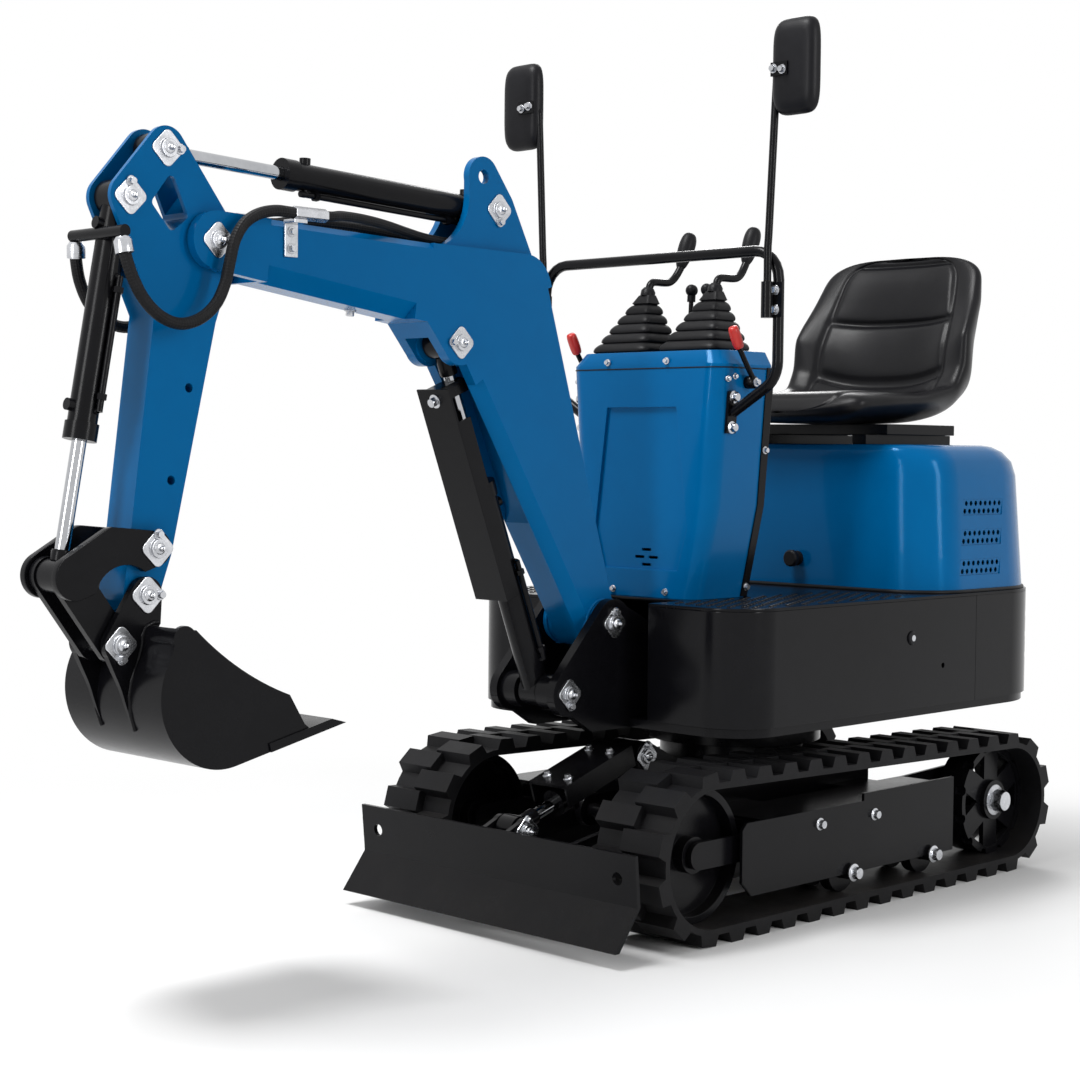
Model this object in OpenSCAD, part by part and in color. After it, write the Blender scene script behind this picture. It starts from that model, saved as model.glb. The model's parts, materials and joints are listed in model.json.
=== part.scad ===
// Micro excavator on rubber tracks, open operator's station, bucket arm and dozer blade.
// X points forward, Y to the machine's left, Z up; lengths in millimetres.
// Places are drawn from the slew axis at ground level and then shifted to the middle of the machine.

/* [Tracks] */
// Width over both tracks
track_span = 690; // [660:1:760]
// Width of one rubber track
track_w = 158; // [140:1:180]
// Thickness of the track belt
belt_t = 11; // [8:1:18]
// Height of the tread lugs
lug_h = 19; // [8:1:22]
// Lugs in each row of one track
lug_count = 36; // [30:2:42]
// Share of the pitch that a lug takes at its root
lug_share = 0.62; // [0.45:0.01:0.7]
// Radius of the idler under the belt
idler_r = 120; // [105:1:125]
// Radius of the drive sprocket under the belt
sprocket_r = 110; // [100:1:120]
// Idler axis ahead of the slew axis
idler_x = 466; // [440:1:480]
// Sprocket axis behind the slew axis
sprocket_x = 472; // [450:1:490]
// Radius of the bottom rollers
roller_r = 40; // [34:1:46]
// Places of the bottom rollers along the track
roller_at = [60, -200]; // [-260:1:260]
// Wall of the track frame plates
frame_wall = 6; // [4:1:10]

/* [Undercarriage] */
// Length of the centre box of the lower frame
box_l = 520; // [460:1:560]
// Width of the centre box
box_w = 280; // [240:1:320]
// Underside of the centre box above the ground
box_bottom = 110; // [90:1:130]
// Top of the centre box above the ground
box_top = 245; // [230:1:252]
// Outer radius of the slew ring
ring_r = 170; // [150:1:185]
// Underside of the slew ring above the ground
ring_bottom = 285; // [275:1:295]
// Height of the slew ring
ring_h = 40; // [30:1:45]

/* [Blade] */
// Width of the dozer blade
blade_w = 684; // [600:1:720]
// Thickness of the blade plate
blade_t = 8; // [6:1:12]
// Top edge of the blade, ahead of the slew axis and above the ground
blade_top = [671, 182]; // [0:1:800]
// Crease of the blade
blade_crease = [663, 95]; // [0:1:800]
// Cutting edge of the blade
blade_edge = [716, 27]; // [0:1:800]
// Radius of the two holes near the blade's upper corners
blade_hole_r = 11; // [6:0.5:14]
// Distance between the blade's two holes
blade_hole_gap = 600; // [520:1:620]
// Hinge of the blade's push arms
blade_pin = [330, 165]; // [0:1:500]
// Upper pin of the blade cylinder
blade_cyl_top = [300, 277]; // [0:1:500]
// Lower pin of the blade cylinder
blade_cyl_low = [612, 174]; // [0:1:700]

/* [Upper body] */
// Width over the skirts
upper_w = 684; // [640:1:690]
// Front face of the skirts ahead of the slew axis
upper_front = 400; // [380:1:420]
// Tail of the upper body behind the slew axis
upper_tail = 640; // [600:1:680]
// Plan radius of the front corners
front_corner_r = 95; // [60:1:120]
// Plan radius of the rear corners
rear_corner_r = 180; // [140:1:220]
// Underside of the skirts
skirt_bottom = 360; // [350:1:375]
// Walking surface of the deck above the ground
deck_top = 572; // [560:1:585]
// Thickness of the deck plate
deck_t = 6; // [4:1:10]
// Wall of the skirts
skirt_wall = 5; // [3:1:8]
// Width of the bay in front of the skirts for the boom foot
bay_w = 250; // [230:1:280]
// Seam between the side skirts and the rear skirt behind the slew axis
skirt_seam_x = 330; // [280:1:400]
// Thickness of the platform plate
platform_t = 16; // [10:1:20]
// Top of the hood above the ground
hood_top = 862; // [840:1:880]
// Front face of the hood behind the slew axis
hood_front = 190; // [180:1:220]
// Wall of the hood and of the console
panel_wall = 4; // [3:1:6]

/* [Operator's place] */
// Front face of the control console ahead of the slew axis
console_front = 285; // [270:1:300]
// Depth of the console
console_depth = 155; // [140:1:170]
// Width of the console at its top
console_w = 376; // [340:1:400]
// Width of the console at its foot
console_foot_w = 260; // [220:1:300]
// Height of the console's kink above the ground
console_kink = 745; // [700:1:800]
// Top of the console above the ground
console_top = 1030; // [1000:1:1050]
// Width of the seat
seat_w = 442; // [400:1:480]
// Underside of the seat cushion above the ground
seat_z = 903; // [895:1:915]
// Top of the seat back above the ground
seat_top = 1258; // [1220:1:1300]
// Radius of the hand rail tube
rail_r = 10; // [8:0.5:13]
// Width over the hand rail posts, between tube middles
rail_w = 578; // [540:1:600]
// Top of the hand rail, at the tube's middle
rail_top = 1205; // [1180:1:1230]
// Hand rail ahead of the slew axis
rail_x = 245; // [235:1:255]
// Height of the mirror heads, at their middle
mirror_z = 1520; // [1450:1:1560]
// Width and height of a mirror head
mirror_size = [96, 168]; // [80:1:190]

/* [Boom] */
// Foot pin of the boom
boom_pin = [440, 535]; // [0:1:800]
// Tip pin between boom and stick
stick_pin = [1296, 1155]; // [900:1:1500]
// Foot pin of the boom cylinder
boom_cyl_foot = [555, 416]; // [300:1:800]
// Upper pin of the boom cylinder
boom_cyl_head = [795, 1023]; // [500:1:1200]
// Base pin of the stick cylinder
stick_cyl_base = [697, 1253]; // [500:1:1400]
// Middle of the lifting eye
lift_eye = [733, 1306]; // [500:1:1500]
// Radius of the lifting eye's hole
lift_eye_r = 12; // [8:0.5:14]
// Width of the boom
boom_w = 100; // [90:1:110]

/* [Stick and bucket] */
// Head pin of the stick cylinder
stick_cyl_head = [1375, 1285]; // [1200:1:1500]
// Base pin of the bucket cylinder
bucket_cyl_base = [1440, 1209]; // [1200:1:1600]
// Pin of the rocker on the stick
rocker_pin = [1403, 695]; // [1200:1:1600]
// Pin of the bucket on the stick
bucket_pin = [1420, 627]; // [1200:1:1600]
// Pin where rocker, link and bucket cylinder meet
knee_pin = [1541, 657]; // [1300:1:1700]
// Pin of the link on the bucket
link_pin = [1466, 556]; // [1300:1:1700]
// Width of the stick
stick_w = 64; // [58:1:68]
// Radius of the hose holes through the stick
stick_hole_r = 7; // [5:0.5:10]
// Width of the bucket
bucket_w = 250; // [220:1:320]
// Middle of the bucket's round belly
belly = [1340, 480]; // [1200:1:1500]
// Radius of the bucket's belly
belly_r = 110; // [95:1:120]
// Tip of the bucket's cutting lip
lip_tip = [1106, 420]; // [1000:1:1300]
// Thickness of the bucket's shell
bucket_wall = 7; // [5:1:10]

/* [Cylinders and pins] */
// Outer radius of the boom cylinder's barrel
boom_barrel_r = 24; // [20:0.5:27]
// Outer radius of the other cylinder barrels
barrel_r = 22; // [18:0.5:24]
// Radius of the piston rods
rod_r = 11; // [8:0.5:13]
// Radius of the linkage pins
pin_r = 14; // [10:0.5:16]
// Radius of the cylinder eyes
eye_r = 27; // [24:0.5:30]
// Width of the cylinder eyes
eye_w = 40; // [34:1:44]
// Length of the boom cylinder's guard plate
guard_l = 390; // [340:1:410]

/* [Clearances] */
// Running clearance round pins and rods, on the radius
run_gap = 0.3; // [0.2:0.05:0.6]
// Side clearance between a moving piece and the cheeks beside it
side_gap = 2; // [1:0.5:4]

/* [Hidden] */
$fn = 48;

paint_blue = [0.0, 0.13, 0.36];
paint_black = [0.03, 0.03, 0.035];
rubber_black = [0.05, 0.05, 0.05];
steel_bright = [0.7, 0.7, 0.72];
signal_red = [0.75, 0.08, 0.04];

// Overall reach and the shift that puts the origin in the middle of the machine
rocker_eye_r = 34;
rocker_foot_r = 26;
reach_front = knee_pin[0] + rocker_eye_r;
place_x = (upper_tail - reach_front) / 2;

// Track loop: axle heights follow from the radii, so the lower run is level
track_y = (track_span - track_w) / 2;
idler_z = lug_h + belt_t + idler_r;
sprocket_z = lug_h + belt_t + sprocket_r;
wheel_base = idler_x + sprocket_x;
top_slope = 2 * atan2(idler_r - sprocket_r, wheel_base);
pitch_h = belt_t / 2;
lug_draft = 7;
front_turn = 180 + top_slope;
rear_turn = 180 - top_slope;
front_arc = (idler_r + pitch_h) * front_turn * PI / 180;
rear_arc = (sprocket_r + pitch_h) * rear_turn * PI / 180;
loop_l = 2 * wheel_base + front_arc + rear_arc;
lug_pitch = loop_l / lug_count;

// Track frame and rollers
frame_out_y = track_span / 2 - 14;
frame_in_y = track_span / 2 - track_w + 18;
frame_plate_low = 68;
frame_plate_high = 212;
frame_front_x = 378;
frame_rear_x = 277;
plate_chamfer = 26;
wheel_w = 60;
roller_z = lug_h + belt_t + roller_r;
axle_r = 14;

// Cheeks, forks and pins of the working arm
pin_head_t = 8;
seat_gap = 0.2;
gland_step = 3;
ear_r = 27;
flag_w = 44;
flag_t = 3;
eye_cheek_y = max(eye_w / 2, barrel_r) + side_gap;
foot_boss_y = max(eye_w / 2, boom_barrel_r) + side_gap;
boom_slot_y = max(eye_w / 2, boom_barrel_r + gland_step) + side_gap;
boom_fork_y = stick_w / 2 + side_gap;
foot_cheek_y = boom_w / 2 + 10 + side_gap;
foot_cheek_t = 18;
link_out_y = stick_w / 2 + 1;
link_in_y = eye_w / 2 - 2 + side_gap;
rocker_in_y = link_out_y + side_gap;
rocker_t = 13;
ear_in_y = rocker_in_y;
ear_t = 12;

// Body outline levels
platform_bottom = ring_bottom + ring_h + run_gap;
platform_low = skirt_bottom - platform_t;
console_rear = console_front - console_depth;
hood_low = deck_top;
hood_side_gap = 10;
hood_corner_r = 108;
hood_draft = 14;
hood_shoulder = hood_top - 62;
function hood_flank(z) = upper_w / 2 - hood_side_gap - hood_draft * (z - hood_low) / (hood_shoulder - hood_low);
grille_count = 3;
grille_low = 606;
grille_pitch = 59;
grille_back = 98;
grille_lean = -8;
grille_size = [142, 31];
engine_back = 560;
engine_size = [280, 380, 360];
console_waist_w = console_w - 40;
console_lid = console_top - 26;
console_corner_r = 34;
console_rear_r = 8;
recess_half = [[86, 926], [114, 700], [92, 624]];
recess_depth = 6;
function flank(z) = (console_waist_w + (console_w - console_waist_w) * (z - console_kink) / (console_lid - console_kink)) / 2;

// Helper shapes: a side profile in X and Z carried between two places across the machine
module slab(y0, y1) {
    translate([0, y1, 0])
        rotate([90, 0, 0])
            linear_extrude(y1 - y0)
                children();
}

module both_slabs(y0, y1) {
    slab(y0, y1)
        children();
    slab(-y1, -y0)
        children();
}

// Round bar across the machine at a pin's place
module cross_bar(p, r, y0, y1) {
    translate([p[0], y1, p[1]])
        rotate([90, 0, 0])
            cylinder(r = r, h = y1 - y0);
}

// Plate round several discs, listed counter-clockwise: the discs and their outer tangents
function outer_tangent(p, q, rp, rq) =
    let (d = q - p, a = atan2(d[1], d[0]) - acos((rp - rq) / norm(d)))
    [p + rp * unit(a), q + rq * unit(a)];

module plate(discs, radii) {
    n = len(discs);
    for (i = [0:n - 1])
        translate(discs[i])
            circle(radii[i]);
    polygon([for (i = [0:n - 1])
        each outer_tangent(discs[i], discs[(i + 1) % n], radii[i], radii[(i + 1) % n])]);
}

module strap(p, q, rp, rq) {
    plate([p, q], [rp, rq]);
}

function unit(a) = [cos(a), sin(a)];
function along(p, q, t) = p + t * (q - p) / norm(q - p);
function aside(p, q, t) = t * [-(q - p)[1], (q - p)[0]] / norm(q - p);

// Rectangle with round corners, centred
module round_rect(size, r) {
    square([size[0] - 2 * r, size[1]], center = true);
    square([size[0], size[1] - 2 * r], center = true);
    for (x = [-1, 1], y = [-1, 1])
        translate([x * (size[0] / 2 - r), y * (size[1] / 2 - r)])
            circle(r);
}

// Plan of the upper body between two places along X, with round corners
module upper_plan(x0, x1, half_w, rear_r, front_r) {
    polygon([[x1 - front_r, -half_w], [x1, front_r - half_w], [x1, half_w - front_r], [x1 - front_r, half_w],
             [x0 + rear_r, half_w], [x0, half_w - rear_r], [x0, rear_r - half_w], [x0 + rear_r, -half_w]]);
    for (side = [-1, 1]) {
        translate([x1 - front_r, side * (half_w - front_r)])
            circle(front_r);
        translate([x0 + rear_r, side * (half_w - rear_r)])
            circle(rear_r);
    }
}

// Frame whose Z axis runs from one pin to the next and whose X axis points to the machine's front or top
module on_line(p, q) {
    turn = atan2(q[1] - p[1], q[0] - p[0]);
    translate([p[0], 0, p[1]])
        rotate([0, 90 - turn, 0])
            children();
}

// Bar between two points in space
module bar(p, q, r) {
    d = q - p;
    translate(p)
        rotate([0, acos(d[2] / norm(d)), atan2(d[1], d[0])])
            cylinder(r = r, h = norm(d));
}

// Tube along points: rings square to the path, joined by one closed skin
function tangent(pts, i) =
    let (a = pts[max(i - 1, 0)], b = pts[min(i + 1, len(pts) - 1)]) (b - a) / norm(b - a);
function ring_axis(t) = abs(t[1]) > 0.9 ? [1, 0, 0] : [0, 1, 0];
function ring(p, t, r, n, up) =
    let (u0 = up - (up * t) * t, u = u0 / norm(u0), v = cross(t, u))
    [for (k = [0:n - 1]) p + r * (cos(360 * k / n) * u + sin(360 * k / n) * v)];

module tube(pts, r, n = 10, up = [0, 0, 1]) {
    count = len(pts);
    rings = [for (i = [0:count - 1]) each ring(pts[i], tangent(pts, i), r, n, up)];
    sides = [for (i = [0:count - 2], k = [0:n - 1])
        [i * n + k, (i + 1) * n + k, (i + 1) * n + (k + 1) % n, i * n + (k + 1) % n]];
    low = [for (k = [0:n - 1]) k];
    high = [for (k = [n - 1:-1:0]) (count - 1) * n + k];
    polyhedron(rings, concat([low], sides, [high]), convexity = 6);
}

// Path with its corners rounded to a bend radius
function bend(a, b, c, r, n) =
    let (u = (a - b) / norm(a - b), w = (c - b) / norm(c - b),
         half = acos(u * w) / 2, back = r / tan(half),
         mid = b + (u + w) / norm(u + w) * (r / sin(half)),
         p0 = b + back * u - mid, p1 = b + back * w - mid,
         sweep = acos(p0 * p1 / (r * r)))
    [for (i = [0:n]) mid + (sin(sweep * (1 - i / n)) * p0 + sin(sweep * i / n) * p1) / sin(sweep)];
function bent(pts, r, n = 5) = concat([pts[0]],
    [for (i = [1:len(pts) - 2]) each bend(pts[i - 1], pts[i], pts[i + 1], r, n)], [pts[len(pts) - 1]]);

// Point of the track loop at a length along its middle line and a height over its inner face
function loop_at(s, h) =
    let (t = s - loop_l * floor(s / loop_l))
    t < wheel_base ? [t - sprocket_x, lug_h + belt_t - h]
    : t < wheel_base + front_arc
        ? [idler_x, idler_z] + (idler_r + h) * unit(-90 + front_turn * (t - wheel_base) / front_arc)
    : t < 2 * wheel_base + front_arc
        ? [idler_x, idler_z] + (idler_r + h) * unit(90 + top_slope)
            + (t - wheel_base - front_arc) * unit(180 + top_slope)
    : [-sprocket_x, sprocket_z]
        + (sprocket_r + h) * unit(90 + top_slope + rear_turn * (t - 2 * wheel_base - front_arc) / rear_arc);

// Outline of the loop with one row of lugs, started a share of the pitch along
function lug_row(phase) = [for (i = [0:lug_count - 1])
    let (s = (i + phase) * lug_pitch, root = lug_share * lug_pitch / 2, tip = root - lug_draft)
    each [loop_at(s - root, belt_t), loop_at(s - tip, belt_t + lug_h), loop_at(s + tip, belt_t + lug_h),
          loop_at(s + root, belt_t), loop_at(s + lug_pitch / 2, belt_t)]];

module loop_inside() {
    strap([idler_x, idler_z], [-sprocket_x, sprocket_z], idler_r, sprocket_r);
}

module track() {
    outer = track_y + track_w / 2;
    inner = track_y - track_w / 2;
    split = 10;
    difference() {
        union() {
            slab(track_y - split, outer)
                polygon(lug_row(0));
            slab(inner, track_y + split)
                polygon(lug_row(0.5));
        }
        slab(inner - 1, outer + 1)
            loop_inside();
    }
}

module track_left() {
    color(rubber_black)
        track();
}

module track_right() {
    color(rubber_black)
        mirror([0, 1, 0])
            track();
}

// Drive wheel at the rear with its hub motor, one on each side
module sprocket() {
    rim_t = 12;
    hub_r = 40;
    hole_count = 6;
    hole_in = hub_r + 9;
    hole_out = sprocket_r - rim_t - 6;
    hole_half = 25;
    tooth_count = 12;
    tooth_gap_r = 9;
    tooth_w = 18;
    motor_r = 46;
    translate([-sprocket_x, 0, sprocket_z])
        rotate([-90, 0, 0]) {
            difference() {
                translate([0, 0, track_y - wheel_w / 2])
                    cylinder(r = sprocket_r - run_gap, h = wheel_w, $fn = 96);
                translate([0, 0, track_y - wheel_w / 2 - 1])
                    cylinder(r = sprocket_r - rim_t, h = wheel_w - 13, $fn = 96);
                translate([0, 0, track_y + wheel_w / 2 - 4])
                    cylinder(r = sprocket_r - rim_t, h = 5, $fn = 96);
                for (k = [0:hole_count - 1])
                    rotate(360 * k / hole_count)
                        translate([0, 0, track_y])
                            linear_extrude(wheel_w)
                                polygon([[hole_in, 0], [hole_out, -hole_half], [hole_out, hole_half]]);
                for (k = [0:tooth_count - 1])
                    rotate(360 * (k + 0.5) / tooth_count)
                        translate([sprocket_r, 0, track_y + wheel_w / 2 - tooth_w])
                            cylinder(r = tooth_gap_r, h = wheel_w, $fn = 24);
            }
            translate([0, 0, frame_in_y + frame_wall])
                cylinder(r = motor_r, h = track_y + wheel_w / 2 - 14 - frame_in_y - frame_wall);
            translate([0, 0, track_y])
                cylinder(r = hub_r, h = wheel_w / 2 + 6);
        }
}

module sprockets() {
    color(paint_black) {
        sprocket();
        mirror([0, 1, 0])
            sprocket();
    }
}

// Front idler: two rims on one web, carried on its axle by the yoke of the track frame
module idler() {
    rim_t = 14;
    web_t = 14;
    hub_r = 32;
    translate([idler_x, track_y, idler_z])
        rotate([-90, 0, 0])
            rotate_extrude($fn = 96) {
                translate([idler_r - rim_t, -wheel_w / 2])
                    square([rim_t - run_gap, wheel_w]);
                translate([axle_r + run_gap, -web_t / 2])
                    square([idler_r - rim_t - axle_r, web_t]);
                translate([axle_r + run_gap, -wheel_w / 2])
                    square([hub_r - axle_r, wheel_w]);
            }
}

module idlers() {
    color(paint_black) {
        idler();
        mirror([0, 1, 0])
            idler();
    }
}

// Bottom roller: two rims with a neck between them
module roller(x) {
    rim_w = 24;
    neck_r = 27;
    roller_w = 2 * rim_w + 40;
    translate([x, track_y, roller_z])
        rotate([-90, 0, 0])
            rotate_extrude()
                difference() {
                    translate([axle_r + run_gap, -roller_w / 2])
                        square([roller_r - run_gap - axle_r - run_gap, roller_w]);
                    translate([neck_r, -roller_w / 2 + rim_w])
                        square([roller_r, roller_w - 2 * rim_w]);
                }
}

module rollers() {
    color(paint_black)
        for (side = [0, 1])
            mirror([0, side, 0])
                for (x = roller_at)
                    roller(x);
}

// Track frame of one side: outer cover plate, inner plate, top plate, idler yoke and axles
module track_frame() {
    yoke_z = 24;
    yoke_t = 9;
    yoke_back = 300;
    yoke_y = wheel_w / 2 + 4;
    difference() {
        slab(frame_out_y - frame_wall, frame_out_y)
            cover_outline();
        slab(frame_out_y - frame_wall - 1, frame_out_y + 1)
            translate([20, frame_plate_high - 14])
                square([frame_front_x, 20]);
    }
    slab(frame_in_y, frame_in_y + frame_wall)
        union() {
            translate([-frame_rear_x - 20, frame_plate_low])
                square([frame_front_x + frame_rear_x - 40, frame_plate_high - 14 - frame_plate_low]);
            strap([-sprocket_x, sprocket_z], [-frame_rear_x, sprocket_z], 66, 58);
        }
    slab(frame_in_y, frame_out_y)
        translate([-frame_rear_x, frame_plate_high - 14 - frame_wall])
            square([frame_front_x + frame_rear_x - 60, frame_wall]);
    for (x = roller_at)
        cross_bar([x, roller_z], axle_r, frame_in_y, frame_out_y + 7);
    for (side = [-1, 1])
        slab(track_y + side * (yoke_y + yoke_t / 2) - yoke_t / 2, track_y + side * (yoke_y + yoke_t / 2) + yoke_t / 2)
            strap([idler_x, idler_z], [yoke_back, idler_z], yoke_z, yoke_z);
    slab(track_y - yoke_y - yoke_t, track_y + yoke_y + yoke_t)
        translate([frame_front_x - 80, idler_z - yoke_z])
            square([24, frame_plate_high - 14 - frame_wall - idler_z + yoke_z]);
    cross_bar([idler_x, idler_z], axle_r, track_y - yoke_y - yoke_t, track_y + yoke_y + yoke_t);
}

module cover_outline() {
    polygon([[-frame_rear_x, frame_plate_low], [frame_front_x - plate_chamfer, frame_plate_low],
             [frame_front_x, frame_plate_low + plate_chamfer], [frame_front_x, frame_plate_high - plate_chamfer],
             [frame_front_x - plate_chamfer, frame_plate_high], [-frame_rear_x, frame_plate_high]]);
}

module track_frames() {
    color(paint_black) {
        track_frame();
        mirror([0, 1, 0])
            track_frame();
    }
}

// Centre box with the slew pedestal, cross beams to the track frames and the blade's lugs
module lower_frame() {
    beam_w = 110;
    beam_high = 190;
    beam_low = 120;
    lug_r = 30;
    lug_in = 74;
    lug_t = 16;
    color(paint_black)
        difference() {
            union() {
                translate([-box_l / 2, -box_w / 2, box_bottom])
                    cube([box_l, box_w, box_top - box_bottom]);
                translate([0, 0, box_top])
                    cylinder(r = ring_r - 25, h = ring_bottom - box_top);
                for (x = [-box_l / 2 + 20, box_l / 2 - 20 - beam_w])
                    translate([x, -frame_in_y, beam_low])
                        cube([beam_w, 2 * frame_in_y, beam_high - beam_low]);
                both_slabs(lug_in, lug_in + lug_t)
                    strap(blade_pin, [box_l / 2 - lug_r, blade_pin[1]], lug_r, lug_r);
                both_slabs(eye_cheek_y, eye_cheek_y + 12)
                    union() {
                        strap(blade_cyl_top, [box_l / 2 - 60, box_top - 10], 27, 20);
                        polygon([blade_cyl_top + [25, -10], [box_l / 2 - 1, box_top - 70],
                                 [box_l / 2 - 90, box_top - 40], blade_cyl_top - [20, 10]]);
                    }
            }
            cross_bar(blade_pin, pin_r + run_gap, -lug_in - lug_t - 1, lug_in + lug_t + 1);
            cross_bar(blade_cyl_top, pin_r, -eye_cheek_y - 13, eye_cheek_y + 13);
        }
}

module slew_ring() {
    color(paint_black)
        translate([0, 0, ring_bottom])
            difference() {
                cylinder(r = ring_r, h = ring_h, $fn = 96);
                translate([0, 0, -1])
                    cylinder(r = ring_r - 50, h = ring_h + 2, $fn = 96);
            }
}

// Pin with a square flag plate on its near end, bolted to the cheek
module flag_pin(p, y_out) {
    cross_bar(p, pin_r, -y_out - flag_t, y_out + pin_head_t);
    flag(p, y_out);
}

module flag(p, y_out) {
    slab(y_out, y_out + flag_t)
        translate(p)
            rotate(45)
                round_rect([flag_w, flag_w], 10);
}

// Pair of short pins that leave the middle of a fork free
module stub_pins(p, y_in, y_out) {
    cross_bar(p, pin_r, -y_out - flag_t, -y_in);
    cross_bar(p, pin_r, y_in, y_out + pin_head_t);
    flag(p, y_out);
}

module frame_pins() {
    color(steel_bright)
        flag_pin(blade_cyl_top, eye_cheek_y + 12);
}

// Dozer blade: creased plate, back ribs, push arms and the cylinder's lugs
module dozer_blade() {
    arm_in = 93;
    arm_t = 14;
    back = [-blade_t, 0];
    color(paint_black)
        difference() {
            union() {
                slab(-blade_w / 2, blade_w / 2)
                    polygon([blade_top, blade_crease, blade_edge, blade_edge + [-blade_t * 1.3, 0],
                             blade_crease + back, blade_top + back]);
                both_slabs(arm_in, arm_in + arm_t)
                    union() {
                        strap(blade_pin, [blade_crease[0] - 60, blade_crease[1] + 30], 28, 24);
                        polygon([[blade_crease[0] - 64, blade_crease[1] + 54], blade_top + back + [1, -20],
                                 blade_crease + back + [2, 0], blade_crease + back + [15, -20],
                                 [blade_crease[0] - 68, blade_crease[1] + 8]]);
                    }
                both_slabs(eye_cheek_y, eye_cheek_y + 10)
                    union() {
                        translate(blade_cyl_low)
                            circle(24);
                        polygon([blade_cyl_low + [0, 24], blade_top + back + [1, -6], blade_crease + back + [1, 10],
                                 blade_cyl_low - [8, 22]]);
                    }
                cross_bar(blade_pin, pin_r, -arm_in - arm_t - 6, arm_in + arm_t + 6);
                slab(-arm_in - 1, arm_in + 1)
                    translate([blade_crease[0] - 90, blade_crease[1] + 14])
                        square([26, 30]);
            }
            for (side = [-1, 1])
                translate([blade_top[0] - 60, side * blade_hole_gap / 2, (blade_top[1] + blade_crease[1]) / 2])
                    rotate([0, 90, 0])
                        cylinder(r = blade_hole_r, h = 100);
            cross_bar(blade_cyl_low, pin_r, -eye_cheek_y - 11, eye_cheek_y + 11);
        }
}

module blade_pins() {
    color(steel_bright)
        stub_pins(blade_cyl_low, eye_cheek_y, eye_cheek_y + 10);
}

// Barrel of a cylinder on its base eye: tube, gland and two oil ports
module barrel(p, q, r, l, ports_up) {
    gland_l = 26;
    difference() {
        union() {
            cross_bar(p, eye_r, -eye_w / 2, eye_w / 2);
            on_line(p, q) {
                cylinder(r = r, h = l - gland_l);
                translate([0, 0, l - gland_l])
                    cylinder(r = r + gland_step, h = gland_l);
                for (z = [eye_r + 18, l - gland_l - 22])
                    translate([0, 0, z])
                        rotate([0, ports_up ? -90 : 90, 0])
                            cylinder(r = 9, h = r + 9);
            }
        }
        cross_bar(p, pin_r + run_gap, -eye_w, eye_w);
        on_line(p, q)
            translate([0, 0, eye_r + 8])
                cylinder(r = rod_r + run_gap, h = l);
    }
}

// Piston rod between its eye and a place inside the barrel
module piston_rod(p, q, inside) {
    d = norm(q - p);
    difference() {
        union() {
            cross_bar(q, eye_r - 2, 2 - eye_w / 2, eye_w / 2 - 2);
            on_line(p, q)
                translate([0, 0, inside])
                    cylinder(r = rod_r, h = d - inside);
        }
        cross_bar(q, pin_r + run_gap, -eye_w, eye_w);
    }
}

blade_barrel_l = 220;
boom_barrel_l = 400;
stick_barrel_l = 442;
bucket_barrel_l = 362;

module blade_barrel() {
    cover_w = 92;
    cover_t = 5;
    cover_z = barrel_r + 14;
    color(paint_black) {
        barrel(blade_cyl_top, blade_cyl_low, barrel_r, blade_barrel_l, false);
        on_line(blade_cyl_top, blade_cyl_low)
            difference() {
                translate([-cover_z - cover_t, -cover_w / 2, eye_r + 14])
                    cube([cover_t + cover_z, cover_w, blade_barrel_l - eye_r - 8]);
                translate([-cover_z, -cover_w / 2 + cover_t, eye_r])
                    cube([cover_t + 2 * cover_z, cover_w - 2 * cover_t, blade_barrel_l]);
            }
        on_line(blade_cyl_top, blade_cyl_low)
            for (z = [eye_r + 50, blade_barrel_l - 50])
                translate([-cover_z - 1, -8, z - 10])
                    cube([cover_z - barrel_r + 3, 16, 20]);
    }
}

module blade_rod() {
    color(steel_bright)
        piston_rod(blade_cyl_top, blade_cyl_low, 120);
}

// Revolving platform: turntable, plate, keel beams and the cheeks that carry boom and boom cylinder
module platform() {
    keel_in = foot_cheek_y;
    keel_back = 260;
    boss_r = 32;
    color(paint_black)
        difference() {
            union() {
                translate([0, 0, platform_bottom])
                    cylinder(r = ring_r - 8, h = platform_low - platform_bottom + 1, $fn = 96);
                translate([0, 0, platform_low])
                    linear_extrude(platform_t)
                        upper_plan(-upper_tail + skirt_wall + 1, upper_front - skirt_wall - 1,
                                   upper_w / 2 - skirt_wall - 1, rear_corner_r - skirt_wall - 1,
                                   front_corner_r - skirt_wall - 1);
                both_slabs(keel_in, keel_in + foot_cheek_t)
                    union() {
                        strap(boom_pin, boom_cyl_foot, 44, 40);
                        polygon([[-keel_back, platform_low], [boom_cyl_foot[0] - 60, platform_low],
                                 boom_cyl_foot + [39, -12], boom_cyl_foot - [20, 0], boom_pin + [20, -20],
                                 boom_pin - [30, -30], [upper_front - 130, 500], [-keel_back, 460]]);
                    }
                slab(-keel_in - 1, keel_in + 1)
                    translate([upper_front - 150, platform_low])
                        square([60, 150]);
                both_slabs(foot_boss_y, keel_in + 1)
                    translate(boom_cyl_foot)
                        circle(boss_r);
            }
            cross_bar(boom_pin, pin_r, -keel_in - foot_cheek_t - 1, keel_in + foot_cheek_t + 1);
            cross_bar(boom_cyl_foot, pin_r, -keel_in - foot_cheek_t - 1, keel_in + foot_cheek_t + 1);
        }
}

module upper_pins() {
    color(steel_bright) {
        flag_pin(boom_pin, foot_cheek_y + foot_cheek_t);
        flag_pin(boom_cyl_foot, foot_cheek_y + foot_cheek_t);
    }
}

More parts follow.
